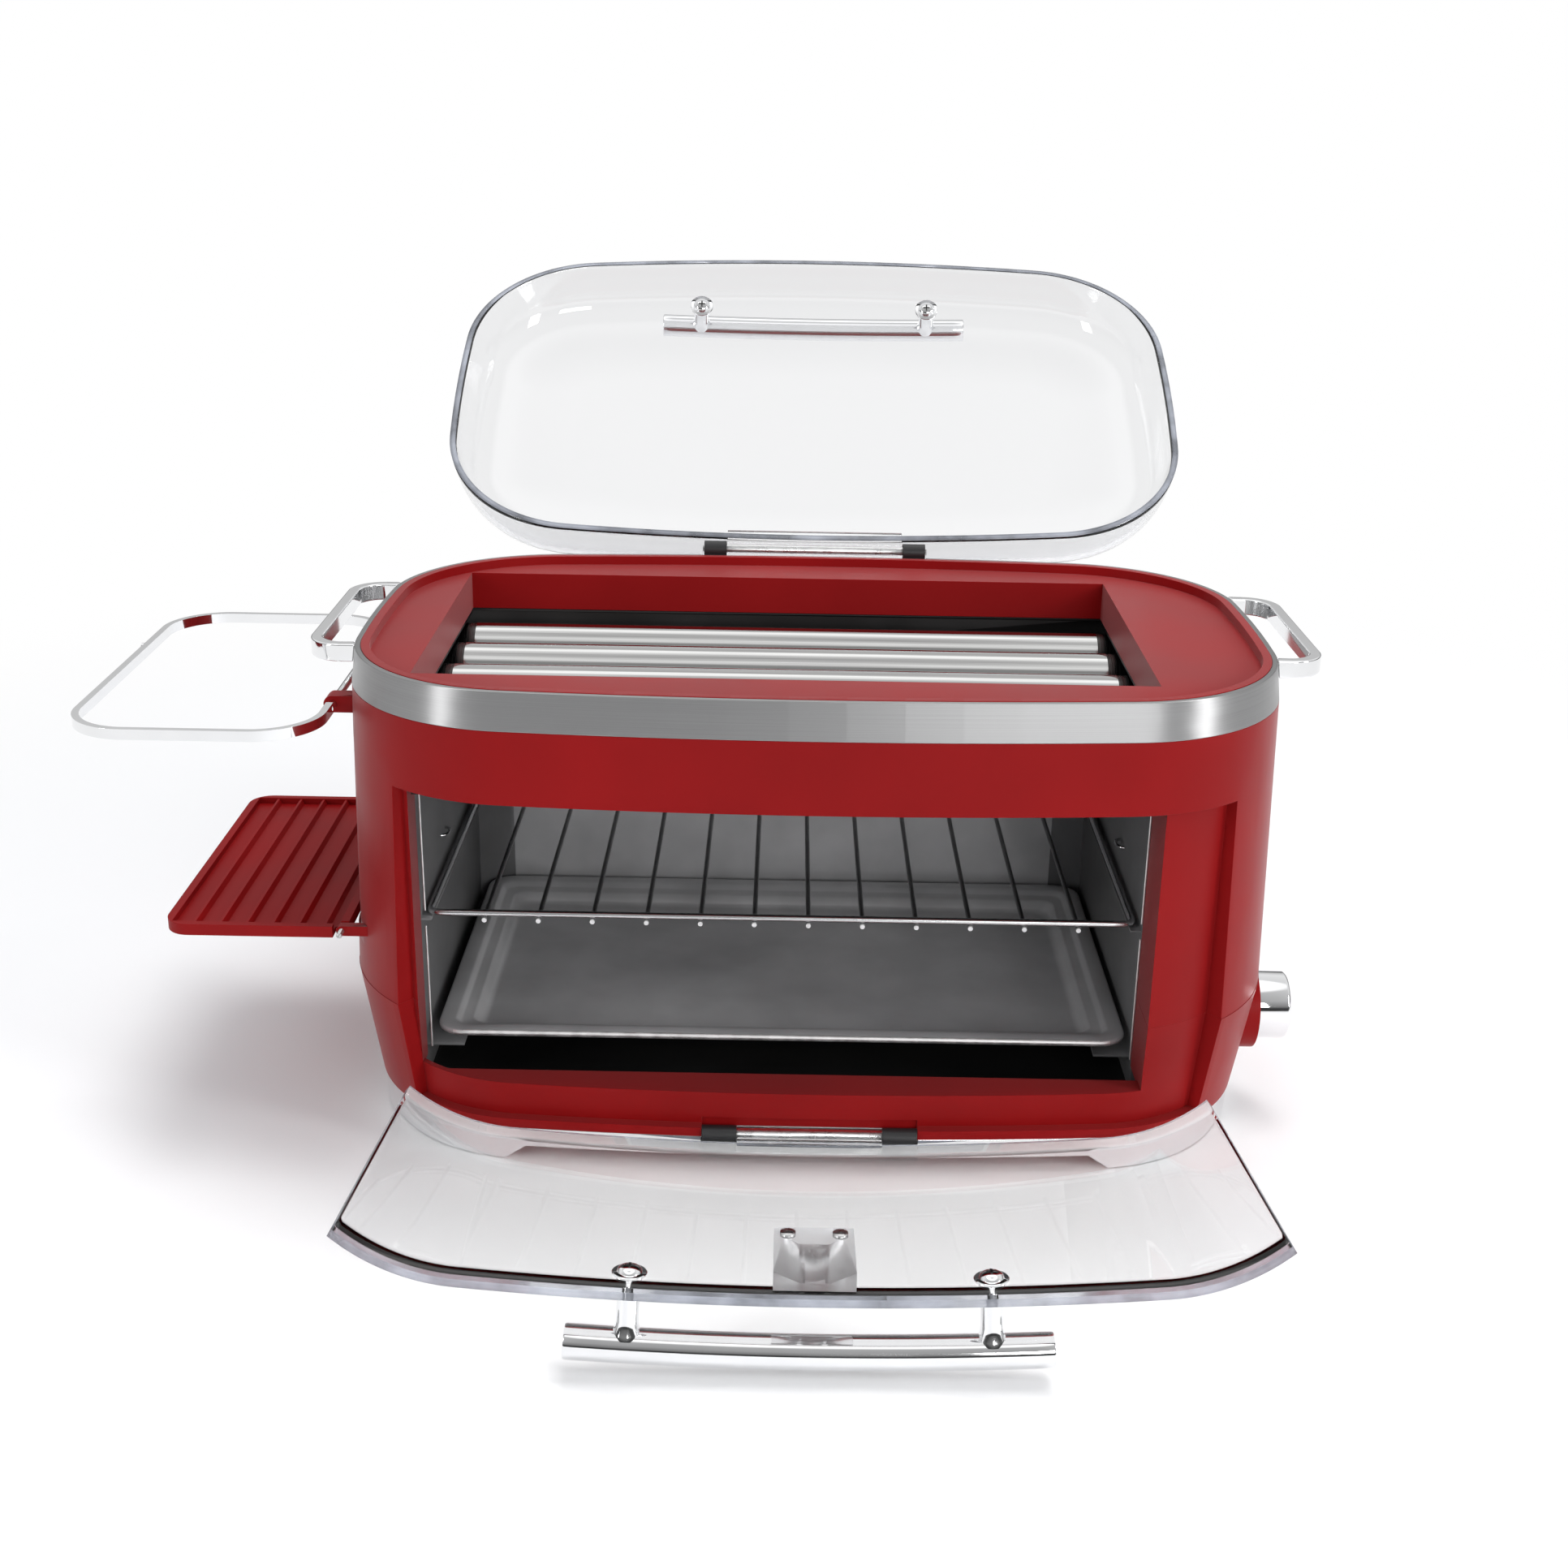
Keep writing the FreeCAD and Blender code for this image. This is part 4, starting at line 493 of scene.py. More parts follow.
def lathe(bm, profile, centre, axis, steps):
    """Closed turned shape from (radius, distance along the axis) pairs."""
    axis = Vector(axis)
    side = axis.orthogonal().normalized()
    verts = [bm.verts.new(Vector(centre) + axis * along + side * radius) for radius, along in profile]
    edges = [bm.edges.new(pair) for pair in zip(verts, verts[1:])]
    bmesh.ops.spin(bm, geom=verts + edges, cent=centre, axis=axis, angle=math.tau, steps=steps,
                   dvec=(0, 0, 0), use_merge=True, use_duplicate=False)
    bmesh.ops.remove_doubles(bm, verts=bm.verts, dist=MERGE)
    bmesh.ops.recalc_face_normals(bm, faces=bm.faces)


# Operators

class HD_OT_casing(bpy.types.Operator):
    """Red mouldings, deck, base ring, and the band just below the rim's top"""
    bl_idname = "hotdog.casing"
    bl_label = "Casing"

    def execute(self, context):
        edge = 0.35 * MM
        for node in ("lower_casing", "upper_casing", "top_deck"):
            add_bevel(dressed_node(node, "red_plastic"), edge)
        band = dressed_node("trim_band", "brushed_band")
        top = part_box("trim_band")[1].z
        level, step = 0.01 * MM, 0.15 * MM
        for vert in band.data.vertices:
            if vert.co.z > top - level:
                vert.co.z = top - step
        add_bevel(band, edge, 3)
        add_bevel(dressed_node("base_ring", "chrome_plating"), edge)
        return {"FINISHED"}


class HD_OT_rollers(bpy.types.Operator):
    """Rollers with polished barrels and darker collars"""
    bl_idname = "hotdog.rollers"
    bl_label = "Rollers"

    def execute(self, context):
        size = context.scene.hd_roller
        shaft, clearance, step = 4 * MM, 4 * MM, 0.3 * MM
        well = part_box("well_liner")
        full, turned = size.radius, size.radius - step
        for number in range(1, 6):
            node = "roller_%d" % number
            low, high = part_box(node)
            centre = left_middle(low, high)
            first = max(low.x, well[0].x + clearance) - low.x
            last = min(high.x, well[1].x - clearance) - low.x
            bright_from, bright_to = first + size.collar, last - size.collar
            bm = bmesh.new()
            profile = [(0, 0), (shaft, 0), (shaft, first), (full - size.chamfer, first),
                       (turned, first + size.chamfer), (turned, bright_from), (full, bright_from + step),
                       (full, bright_to - step), (turned, bright_to), (turned, last - size.chamfer),
                       (full - size.chamfer, last), (shaft, last), (shaft, high.x - low.x),
                       (0, high.x - low.x)]
            lathe(bm, profile, centre, (1, 0, 0), 72)
            for face in bm.faces:
                along = face.calc_center_median().x - low.x
                face.material_index = 0 if bright_from < along < bright_to else 1
            finish_piece(node + "_tube", bm, node, ["roller_steel", "roller_collar"], [node])
        return {"FINISHED"}


def rounded_ring(bm, half_x, half_y, radius, z):
    """Closed loop of a rounded rectangle about the origin."""
    steps = 8
    before = set(bm.edges)
    start = bm.verts.new((0, -half_y, z))
    side = bm.verts.new((half_x - radius, -half_y, z))
    bm.edges.new((start, side))
    last = spun_arc(bm, side, (half_x - radius, radius - half_y, z), math.pi / 2, steps)
    bm.edges.new((last, bm.verts.new((half_x, 0, z))))
    add_mirrored(bm, before, "X")
    add_mirrored(bm, before, "Y")
    return new_edges(bm, before)


def bent_wire(name, routes, radius):
    """Mesh of round wire along smooth routes."""
    curve = bpy.data.curves.new(name, "CURVE")
    curve.dimensions = "3D"
    curve.bevel_depth = radius
    curve.bevel_resolution = 3
    curve.resolution_u = 4
    curve.use_fill_caps = True
    for points in routes:
        spline = curve.splines.new("NURBS")
        spline.points.add(len(points) - 1)
        for point, place in zip(spline.points, points):
            point.co = (*place, 1)
        spline.order_u = 3
        spline.use_endpoint_u = True
    holder = bpy.data.objects.new(name, curve)
    bpy.context.scene.collection.objects.link(holder)
    mesh = bpy.data.meshes.new_from_object(holder)
    bpy.data.objects.remove(holder)
    bm = bmesh.new()
    bm.from_mesh(mesh)
    bpy.data.meshes.remove(mesh)
    return bm


def baking_tray():
    """Shallow tray with a wide flange, a step and rounded corners, whose front lip is painted bright as a
    highlight.
    """
    low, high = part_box("baking_tray")
    half_x, half_y = (high.x - low.x) / 2, (high.y - low.y) / 2
    corner = 12 * MM
    highlight_lip, sheet = 0.9 * MM, 0.7 * MM
    profile = [(0.0, -2.2), (0.0, -0.9), (0.4, -0.2), (1.2, 0.0), (6.5, 0.0), (7.6, -0.5), (8.6, -2.0),
               (9.6, -2.6), (13.0, -2.8), (14.2, -3.4), (15.6, -6.6), (16.8, -7.9), (18.8, -8.3)]
    bm = bmesh.new()
    loops = []
    for inward, drop in profile:
        inset = inward * MM
        loops.append(rounded_ring(bm, half_x - inset, half_y - inset, max(corner - inset, corner / 2),
                                  high.z + drop * MM))
    for outer, inner in zip(loops, loops[1:]):
        bmesh.ops.bridge_loops(bm, edges=outer + inner)
    bmesh.ops.contextual_create(bm, geom=loops[-1])
    bmesh.ops.recalc_face_normals(bm, faces=bm.faces)
    if sum(face.normal.z * face.calc_area() for face in bm.faces) < 0:
        bmesh.ops.reverse_faces(bm, faces=bm.faces)
    bmesh.ops.translate(bm, verts=bm.verts, vec=((low.x + high.x) / 2, (low.y + high.y) / 2, 0))
    # The front lip takes the bright edge finish as a painted highlight
    for face in bm.faces:
        if face.calc_center_median().y < low.y + highlight_lip:
            face.material_index = 1
    piece = finish_piece("tray_pressing", bm, "tray", ["tray_coating", "edge_painted_highlight"],
                         ["baking_tray"], 60)
    add_wall(piece, sheet)


def wire_rack():
    """Bent frame on rods whose tips show under its front wire; the rods are painted dark as shade, the tips
    bright as highlights.
    """
    low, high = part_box("wire_rack")
    wire, rod, bend = 1.45 * MM, 1.05 * MM, 9 * MM
    count, pitch = 12, 22.75 * MM
    tip_room, tip_drop = 1.7 * MM, 0.7 * MM
    x0, x1 = low.x + wire, high.x - wire
    y0, y1 = low.y + tip_room, high.y - wire
    z = (low.z + high.z) / 2
    half = (y0 + y1) / 2
    routes = []
    for y, inward in ((y0, bend), (y1, -bend)):
        routes.append([(x0, half, z), (x0, y + inward, z), (x0, y, z), (x0 + bend, y, z),
                       (x1 - bend, y, z), (x1, y, z), (x1, y + inward, z), (x1, half, z)])
    bm = bent_wire("rack_frame_wire", routes, wire)
    finish_piece("rack_frame", bm, "rack", ["rack_wire"], ["wire_rack"], 60)
    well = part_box("well_liner")
    middle = well[0].x / 2 + well[1].x / 2
    under = z - (wire + rod) * 0.8
    rods, tips = [], []
    for number in range(count):
        x = middle + (number - (count - 1) / 2) * pitch
        rods.append([(x, y0, under), (x, 0, under), (x, y1 + wire, under)])
        tips.append([(x, y0 - out * MM, under - tip_drop) for out in (0.3, 0.9, 1.6)])
    # Rods in the dark finish, as painted shade
    bm = bent_wire("rack_rod_wire", rods, rod)
    finish_piece("rack_rods", bm, "rack", ["rack_rod_painted_shade"], (), 60)
    # Rod tips in the bright edge finish, as painted highlights
    bm = bent_wire("rack_tip_wire", tips, rod)
    finish_piece("rack_tips", bm, "rack", ["edge_painted_highlight"], (), 60)


def liner_edges():
    """Folded edges of the lining beside the window, painted bright as a highlight, open where the rack
    passes.
    """
    radius = 0.4 * MM
    top, over_rack, under_rack, bottom = 162, 101.5, 94.5, 38
    # Side, x above and below, and y, in mm like the heights
    for side, upper, lower, depth in (("left", -161.4, -161.1, -75.2), ("right", 137.9, 137.9, -76.3)):
        middle = (upper + lower) / 2
        routes = []
        for points in ([(upper, depth, top), (upper, depth, 130), (middle, depth, over_rack)],
                       [(middle, depth, under_rack), (lower, depth, 65), (lower, depth, bottom)]):
            routes.append([tuple(part * MM for part in point) for point in points])
        bm = bent_wire("edge_painted_highlight_wire", routes, radius)
        finish_piece("edge_painted_highlight_" + side, bm, "body", ["edge_painted_highlight"], (), 60)


def wall_loops():
    """Small wire loops on the side walls that keep the rack from tipping."""
    low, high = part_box("wire_rack")
    above_rack, half_width, wire = 12 * MM, 5 * MM, 0.7 * MM
    in_wall, stands_out = 2.2 * MM, 3.2 * MM
    z = high.z + above_rack
    for side, edge, inward in (("left", low.x, 1), ("right", high.x, -1)):
        start = edge - in_wall * inward
        out = stands_out * inward
        routes = []
        for y in (-12 * MM, 34 * MM):
            routes.append([(start, y - half_width, z), (start + out, y - half_width, z),
                           (start + out, y + half_width, z), (start, y + half_width, z)])
        bm = bent_wire("wall_loop_wire", routes, wire)
        finish_piece("wall_loops_" + side, bm, "body", ["rack_wire"], (), 60)


class HD_OT_oven(bpy.types.Operator):
    """Oven lining, rack, tray and well pan"""
    bl_idname = "hotdog.oven"
    bl_label = "Oven"

    def execute(self, context):
        # Side walls get the darker lining copy as painted shade, the back wall the lighter copy as painted
        # light
        for node in ("oven_side_left", "oven_side_right"):
            dressed_node(node, "side_liner_painted_shade")
        dressed_node("oven_back", "dark_liner")
        # Oven floor in near-black, as painted shade under the tray
        dressed_node("oven_floor", "oven_floor_painted_shade")
        liner_edges()
        wall_loops()
        # Well pan in near-black, as painted shade between the rollers
        dressed_node("well_liner", "well_pan_painted_shade")
        baking_tray()
        wire_rack()
        for node in ("lower_heater", "upper_heater"):
            dressed_node(node, "heater_sheath")
        return {"FINISHED"}


# Dome of the lid: distance in from its edge, and height above it, in metres
DOME = [(0.0, 0.0), (0.0003, 0.003), (0.0009, 0.0075), (0.0016, 0.012), (0.0029, 0.0169), (0.0046, 0.021),
        (0.0067, 0.0245), (0.0095, 0.0275), (0.0136, 0.0305), (0.019, 0.033), (0.0266, 0.0352),
        (0.036, 0.0368), (0.047, 0.0376), (0.058, 0.038)]


class HD_OT_lid(bpy.types.Operator):
    """Clear domed lid, swung open on its hinge"""
    bl_idname = "hotdog.lid"
    bl_label = "Lid"

    def execute(self, context):
        size = context.scene.hd_lid
        bm = bmesh.new()
        loop = oval_shell(bm, [(-size.inset - inward, size.seat + rise) for inward, rise in DOME])
        bmesh.ops.contextual_create(bm, geom=loop)
        bmesh.ops.recalc_face_normals(bm, faces=bm.faces)
        turned_open(bm, size.hinge_y, size.hinge_z, -size.opened)
        piece = finish_piece("lid_dome", bm, "lid", ["lid_acrylic_painted_reflection", "acrylic_edge_painted_reflection"],
                             ["lid"], 60)
        wall = add_wall(piece, size.wall)
        # The lid's rim faces take the painted edge reflection
        wall.material_offset_rim = 1
        barrel = bmesh.new()
        leaf_gap, leaf_depth = 0.5 * MM, 9.5 * MM
        leaf_low = context.scene.hd_outline.rim_top + leaf_gap
        left_end, right_end, radius = -42.2 * MM, 43.5 * MM, 3.4 * MM
        hinge_barrel(barrel, left_end, right_end, size.hinge_y, size.hinge_z, radius,
                     (outline_front(0) - leaf_depth, size.hinge_y), (leaf_low, leaf_low + size.wall))
        turned_open(barrel, size.hinge_y, size.hinge_z, -size.opened)
        finish_piece("lid_barrel", barrel, "lid", ["clear_acrylic"], (), 40)
        return {"FINISHED"}


def outline_front(offset):
    """Half depth of the outline that stands off the rim by offset."""
    return bpy.context.scene.hd_outline.half_depth + offset


def hinge_barrel(bm, x0, x1, y, z, radius, leaf_y, leaf_z):
    """Clear barrel round a hinge pin with the leaf that carries it."""
    bore = 1.7 * MM
    lathe(bm, [(bore, x0), (radius, x0), (radius, x1), (bore, x1), (bore, x0)], (0, y, z), (1, 0, 0), 32)
    leaf = bmesh.ops.create_cube(bm, size=1.0)["verts"]
    size = (x1 - x0, leaf_y[1] - leaf_y[0] - radius * 0.8, leaf_z[1] - leaf_z[0])
    bmesh.ops.scale(bm, verts=leaf, vec=size)
    middle = Vector(((x0 + x1) / 2, (leaf_y[0] + leaf_y[1]) / 2, (leaf_z[0] + leaf_z[1]) / 2))
    bmesh.ops.translate(bm, verts=leaf, vec=middle)
    edges = list({edge for vert in leaf for edge in vert.link_edges})
    bmesh.ops.bevel(bm, geom=edges, offset=0.3 * MM, affect="EDGES", segments=2, profile=0.5, material=-1)


def door_path(bm, z, offset, half_width):
    """Open line along the front of the outline at one height, from left to right."""
    size = bpy.context.scene.hd_outline
    front, corner = outline_centres()[:2]
    steps = 24
    turn_front = math.pi / 2 + math.atan2(corner.y - front.y, corner.x - front.x)
    reach = size.corner_radius + offset
    turn_edge = math.asin((half_width - corner.x) / reach) - turn_front
    before = set(bm.edges)
    start = bm.verts.new((0, -size.half_depth - offset, z))
    joint = spun_arc(bm, start, (*front, z), turn_front, steps)
    spun_arc(bm, joint, (*corner, z), turn_edge, steps)
    add_mirrored(bm, before, "X")
    return new_edges(bm, before)


class HD_OT_door(bpy.types.Operator):
    """Clear oven door, laid open on its hinge"""
    bl_idname = "hotdog.door"
    bl_label = "Door"

    def execute(self, context):
        size = context.scene.hd_door
        bm = bmesh.new()
        steps = 12
        rise = (size.top - size.bottom) / steps
        lines = []
        for k in range(steps + 1):
            lines.append(door_path(bm, size.bottom + k * rise, size.offset, size.half_width))
        for low, high in zip(lines, lines[1:]):
            bmesh.ops.bridge_loops(bm, edges=low + high)
        bmesh.ops.recalc_face_normals(bm, faces=bm.faces)
        if bm.faces[0].normal.y > 0:
            bmesh.ops.reverse_faces(bm, faces=bm.faces)
        turned_open(bm, size.hinge_y, size.hinge_z, size.opened)
        piece = finish_piece("door_sheet", bm, "door", ["clear_acrylic", "acrylic_edge_painted_reflection"],
                             ["door_panel"], 60)
        wall = add_wall(piece, size.wall)
        # The door's rim faces take the painted edge reflection
        wall.material_offset_rim = 1
        dressed_node("latch_block", "frosted_acrylic")
        barrel = bmesh.new()
        leaf_inset = 0.2 * MM
        left_end, right_end, radius = -29.3 * MM, 30.8 * MM, 3.6 * MM
        hinge_barrel(barrel, left_end, right_end, size.hinge_y, size.hinge_z, radius,
                     (-outline_front(size.offset) + leaf_inset, size.hinge_y),
                     (size.hinge_z, size.bottom + size.wall))
        turned_open(barrel, size.hinge_y, size.hinge_z, size.opened)
        finish_piece("door_barrel", barrel, "door", ["clear_acrylic"], (), 40)
        return {"FINISHED"}


def handle_bar(bm):
    """Gently curved round bar, X out from the panel, Y along the bar."""
    radius, half = 6.4 * MM, 86.8 * MM
    turn = math.asin(half / BAR_ARC)
    centre = (BAR_REACH - BAR_ARC, 0, 0)
    ring = bmesh.ops.create_circle(bm, segments=40, radius=radius)["verts"]
    bmesh.ops.rotate(bm, verts=ring, matrix=Matrix.Rotation(math.pi / 2, 3, "X"))
    bmesh.ops.translate(bm, verts=ring, vec=(BAR_REACH, 0, 0))
    bmesh.ops.rotate(bm, verts=ring, cent=centre, matrix=Matrix.Rotation(-turn, 3, "Z"))
    result = bmesh.ops.spin(bm, geom=list(bm.edges) + list(bm.verts), cent=centre, axis=(0, 0, 1),
                            angle=2 * turn, steps=24, dvec=(0, 0, 0), use_duplicate=False)
    ends = [ring, [item for item in result["geom_last"] if isinstance(item, bmesh.types.BMVert)]]
    caps = []
    for verts in ends:
        edges = list({edge for vert in verts for edge in vert.link_edges if edge.is_boundary})
        caps += bmesh.ops.contextual_create(bm, geom=edges)["faces"]
    rims = list({edge for face in caps for edge in face.edges})
    bmesh.ops.bevel(bm, geom=rims, offset=0.7 * MM, affect="EDGES", segments=2, profile=0.5, material=-1)
    bmesh.ops.recalc_face_normals(bm, faces=bm.faces)


def set_at_posts(bm):
    """Put one copy of the mesh at each of a bar handle's two posts."""
    spacing = 64.8 * MM
    centre = (BAR_REACH - BAR_ARC, 0, 0)
    made = list(bm.faces)
    copy = bmesh.ops.duplicate(bm, geom=made)["geom"]
    others = list({vert for item in copy if isinstance(item, bmesh.types.BMFace) for vert in item.verts})
    first = list({vert for face in made for vert in face.verts})
    swing = spacing / BAR_ARC
    bmesh.ops.rotate(bm, verts=first, cent=centre, matrix=Matrix.Rotation(swing, 3, "Z"))
    bmesh.ops.rotate(bm, verts=others, cent=centre, matrix=Matrix.Rotation(-swing, 3, "Z"))


def cross_recess(bm, tip):
    """Cross set into a screw's dome, which points along -X, painted dark as the shade in the recess."""
    for size in ((0.5, 3.6, 0.8), (0.5, 0.8, 3.6)):
        made = bmesh.ops.create_cube(bm, size=1.0)["verts"]
        bmesh.ops.scale(bm, verts=made, vec=[part * MM for part in size])
        bmesh.ops.translate(bm, verts=made, vec=(tip, 0, 0))
        for face in {face for vert in made for face in vert.link_faces}:
            face.material_index = 1


def bar_handle(kind, body, base, out, hinge, opened, panel):
    """Bar, flared posts and domed screws of a clear panel's handle."""
    up = Vector((1, 0, 0)).cross(out) * -1
    side = up.cross(out)
    place = Matrix((out, side, up)).transposed().to_4x4()
    place.translation = base
    swing = Matrix.Translation(hinge) @ Matrix.Rotation(opened, 4, "X") @ Matrix.Translation(-Vector(hinge))
    full = swing @ place
    bm = bmesh.new()
    handle_bar(bm)
    bmesh.ops.transform(bm, matrix=full, verts=bm.verts)
    finish_piece(kind + "_bar", bm, body, ["chrome_plating"], [kind + "_handle_bar"], 40)
    bm = bmesh.new()
    post = [(0, 0.2), (4.6, 0.2), (4.6, 0.9), (4.0, 1.4), (4.0, 14.0), (4.3, 16.2), (5.2, 18.6),
            (5.6, 20.4), (0, 20.4)]
    lathe(bm, [(r * MM, x * MM) for r, x in post], (0, 0, 0), (1, 0, 0), 40)
    set_at_posts(bm)
    bmesh.ops.transform(bm, matrix=full, verts=bm.verts)
    finish_piece(kind + "_posts", bm, body, ["chrome_plating"],
                 [kind + "_handle_posts"], 40)
    bm = bmesh.new()
    inner = -panel / MM
    head = [(0, inner - 3.5), (1.6, inner - 3.4), (3.0, inner - 3.0), (4.0, inner - 2.3),
            (4.6, inner - 1.3), (6.0, inner - 1.2), (6.3, inner - 0.9), (6.3, inner - 0.3),
            (2.0, inner - 0.2), (2.0, 2.0), (0, 2.0)]
    lathe(bm, [(r * MM, x * MM) for r, x in head], (0, 0, 0), (1, 0, 0), 40)
    cross_recess(bm, (inner - 3.35) * MM)
    set_at_posts(bm)
    bmesh.ops.transform(bm, matrix=full, verts=bm.verts)
    finish_piece(kind + "_screws", bm, body, ["chrome_plating", "recess_painted_shade"],
                 [kind + "_handle_screws"], 40)


class HD_OT_handles(bpy.types.Operator):
    """Bar handles of the lid and the door"""
    bl_idname = "hotdog.handles"
    bl_label = "Bar handles"

    def execute(self, context):
        outline = context.scene.hd_outline
        door = context.scene.hd_door
        lid = context.scene.hd_lid
        door_height, lid_front, lid_rise = 148.5 * MM, -100 * MM, 25.2 * MM
        base = Vector((0, -outline.half_depth - door.offset, door_height))
        out = Vector((0, -1, 0))
        bar_handle("door", "door", base, out, Vector((0, door.hinge_y, door.hinge_z)), door.opened, door.wall)
        tilt = math.radians(65)
        out = Vector((0, -math.cos(tilt), math.sin(tilt)))
        base = Vector((0, lid_front, lid.seat + lid_rise)) + out * lid.wall
        bar_handle("lid", "lid", base, out, Vector((0, lid.hinge_y, lid.hinge_z)), -lid.opened, lid.wall)
        return {"FINISHED"}


def control_knob():
    """Turned knob with a thin back flange, a crowned face and a pointer line."""
    low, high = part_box("control_knob")
    centre = left_middle(low, high)
    radius = (high.y - low.y) / 2 / MM
    depth = (high.x - low.x) / MM
    profile = [(0, 0), (radius - 0.3, 0), (radius, 0.3), (radius, 1.1), (radius - 0.9, 1.5),
               (radius - 0.9, depth - 2.0), (radius - 1.4, depth - 0.9), (radius - 2.6, depth - 0.3),
               (radius - 5, depth - 0.1), (0, depth)]
    pointer, sunk, raised = (0.5 * MM, 1.2 * MM, 7 * MM), 0.26 * MM, 8 * MM
    bm = bmesh.new()
    lathe(bm, [(r * MM, x * MM) for r, x in profile], centre, (1, 0, 0), 72)
    line = bmesh.ops.create_cube(bm, size=1.0)["verts"]
    bmesh.ops.scale(bm, verts=line, vec=pointer)
    bmesh.ops.translate(bm, verts=line, vec=centre + Vector((depth * MM - sunk, 0, raised)))
    for face in {face for vert in line for face in vert.link_faces}:
        face.material_index = 1
    finish_piece("knob_turned", bm, "knob", ["chrome_plating", "black_plastic"],
                 ["control_knob"], 40)


class HD_OT_hardware(bpy.types.Operator):
    """Handles, ring, shelf, knob and hinges"""
    bl_idname = "hotdog.hardware"
    bl_label = "Hardware"

    def execute(self, context):
        for node in ("side_handle_left", "side_handle_right", "ring_frame"):
            add_bevel(dressed_node(node, "chrome_plating", 40), 0.6 * MM, 3)
        control_knob()
        add_bevel(dressed_node("folding_shelf", "red_shelf", 40), 0.4 * MM)
        dressed_node("hinge_lugs", "red_plastic")
        for node in ("lid_hinge_knuckles", "door_hinge_knuckles", "door_catch", "timer_switch",
                     "power_inlet", "bottom_plate"):
            dressed_node(node, "black_plastic")
        for node in ("latch_screws", "lid_hinge_pin", "door_hinge_pin", "shelf_pin", "idler_pins",
                     "body_screws", "bearing_plate_left", "bearing_plate_right", "drive_motor"):
            dressed_node(node, "plated_steel")
        for number in range(1, 6):
            coat_node("roller_gear_%d" % number, "gear_plastic")
        for number in range(1, 5):
            coat_node("idler_gear_%d" % number, "gear_plastic")
        coat_node("motor_pinion", "gear_plastic")
        coat_node("roller_bushes", "bearing_bronze")
        return {"FINISHED"}


# Stage

def area_lamp(name, place, target, size, power):
    """Soft rectangular lamp that faces a point."""
    light = bpy.data.lights.new(name, "AREA")
    light.shape = "RECTANGLE"
    light.size, light.size_y = size
    light.energy = power
    lamp = bpy.data.objects.new(name, light)
    lamp.location = place
    aim = Vector(target) - Vector(place)
    lamp.rotation_euler = aim.to_track_quat("-Z", "Y").to_euler()
    bpy.context.scene.collection.objects.link(lamp)
    return lamp


def backdrop_rays(tree):
    """Factors for rays seen straight or through clear pieces, for glossy rays, and for any of these."""
    path = tree.nodes.new("ShaderNodeLightPath")
    first = tree.nodes.new("ShaderNodeMath")
    first.operation = "MAXIMUM"
    second = tree.nodes.new("ShaderNodeMath")
    second.operation = "MAXIMUM"
    tree.links.new(path.outputs["Is Camera Ray"], first.inputs[0])
    tree.links.new(path.outputs["Is Transmission Ray"], first.inputs[1])
    tree.links.new(first.outputs[0], second.inputs[0])
    tree.links.new(path.outputs["Is Glossy Ray"], second.inputs[1])
    return first.outputs[0], path.outputs["Is Glossy Ray"], second.outputs[0]


def stage_floor():
    """Pale floor that keeps the object's shadow and turns white farther out."""
    half_side, near, far, below = 3.0, 0.3, 0.95, 0.4 * MM
    bm = bmesh.new()
    bmesh.ops.create_grid(bm, x_segments=2, y_segments=2, size=half_side)
    bmesh.ops.translate(bm, verts=bm.verts, vec=(0, 0, -below))
    mesh = bpy.data.meshes.new("floor")
    bm.to_mesh(mesh)
    bm.free()
    floor = bpy.data.objects.new("floor", mesh)
    bpy.context.scene.collection.objects.link(floor)
    mat, tree, shader = wire_nodes("floor_paint")
    shader.inputs["Base Color"].default_value = (0.86, 0.86, 0.86, 1)
    shader.inputs["Roughness"].default_value = 0.7
    glow = tree.nodes.new("ShaderNodeEmission")
    glow.inputs["Color"].default_value = (1, 1, 1, 1)
    mix = tree.nodes.new("ShaderNodeMixShader")
    place = tree.nodes.new("ShaderNodeTexCoord")
    reach = tree.nodes.new("ShaderNodeVectorMath")
    reach.operation = "LENGTH"
    tree.links.new(place.outputs["Object"], reach.inputs[0])
    share = tree.nodes.new("ShaderNodeMapRange")
    share.interpolation_type = "SMOOTHSTEP"
    share.inputs["From Min"].default_value = near
    share.inputs["From Max"].default_value = far
    tree.links.new(reach.outputs["Value"], share.inputs["Value"])
    scale = tree.nodes.new("ShaderNodeMath")
    scale.operation = "MULTIPLY"
    tree.links.new(share.outputs["Result"], scale.inputs[1])
    tree.links.new(backdrop_rays(tree)[2], scale.inputs[0])
    tree.links.new(scale.outputs[0], mix.inputs["Fac"])
    tree.links.new(shader.outputs["BSDF"], mix.inputs[1])
    tree.links.new(glow.outputs["Emission"], mix.inputs[2])
    tree.links.new(mix.outputs["Shader"], tree.nodes["Material Output"].inputs["Surface"])
    mesh.materials.append(mat)


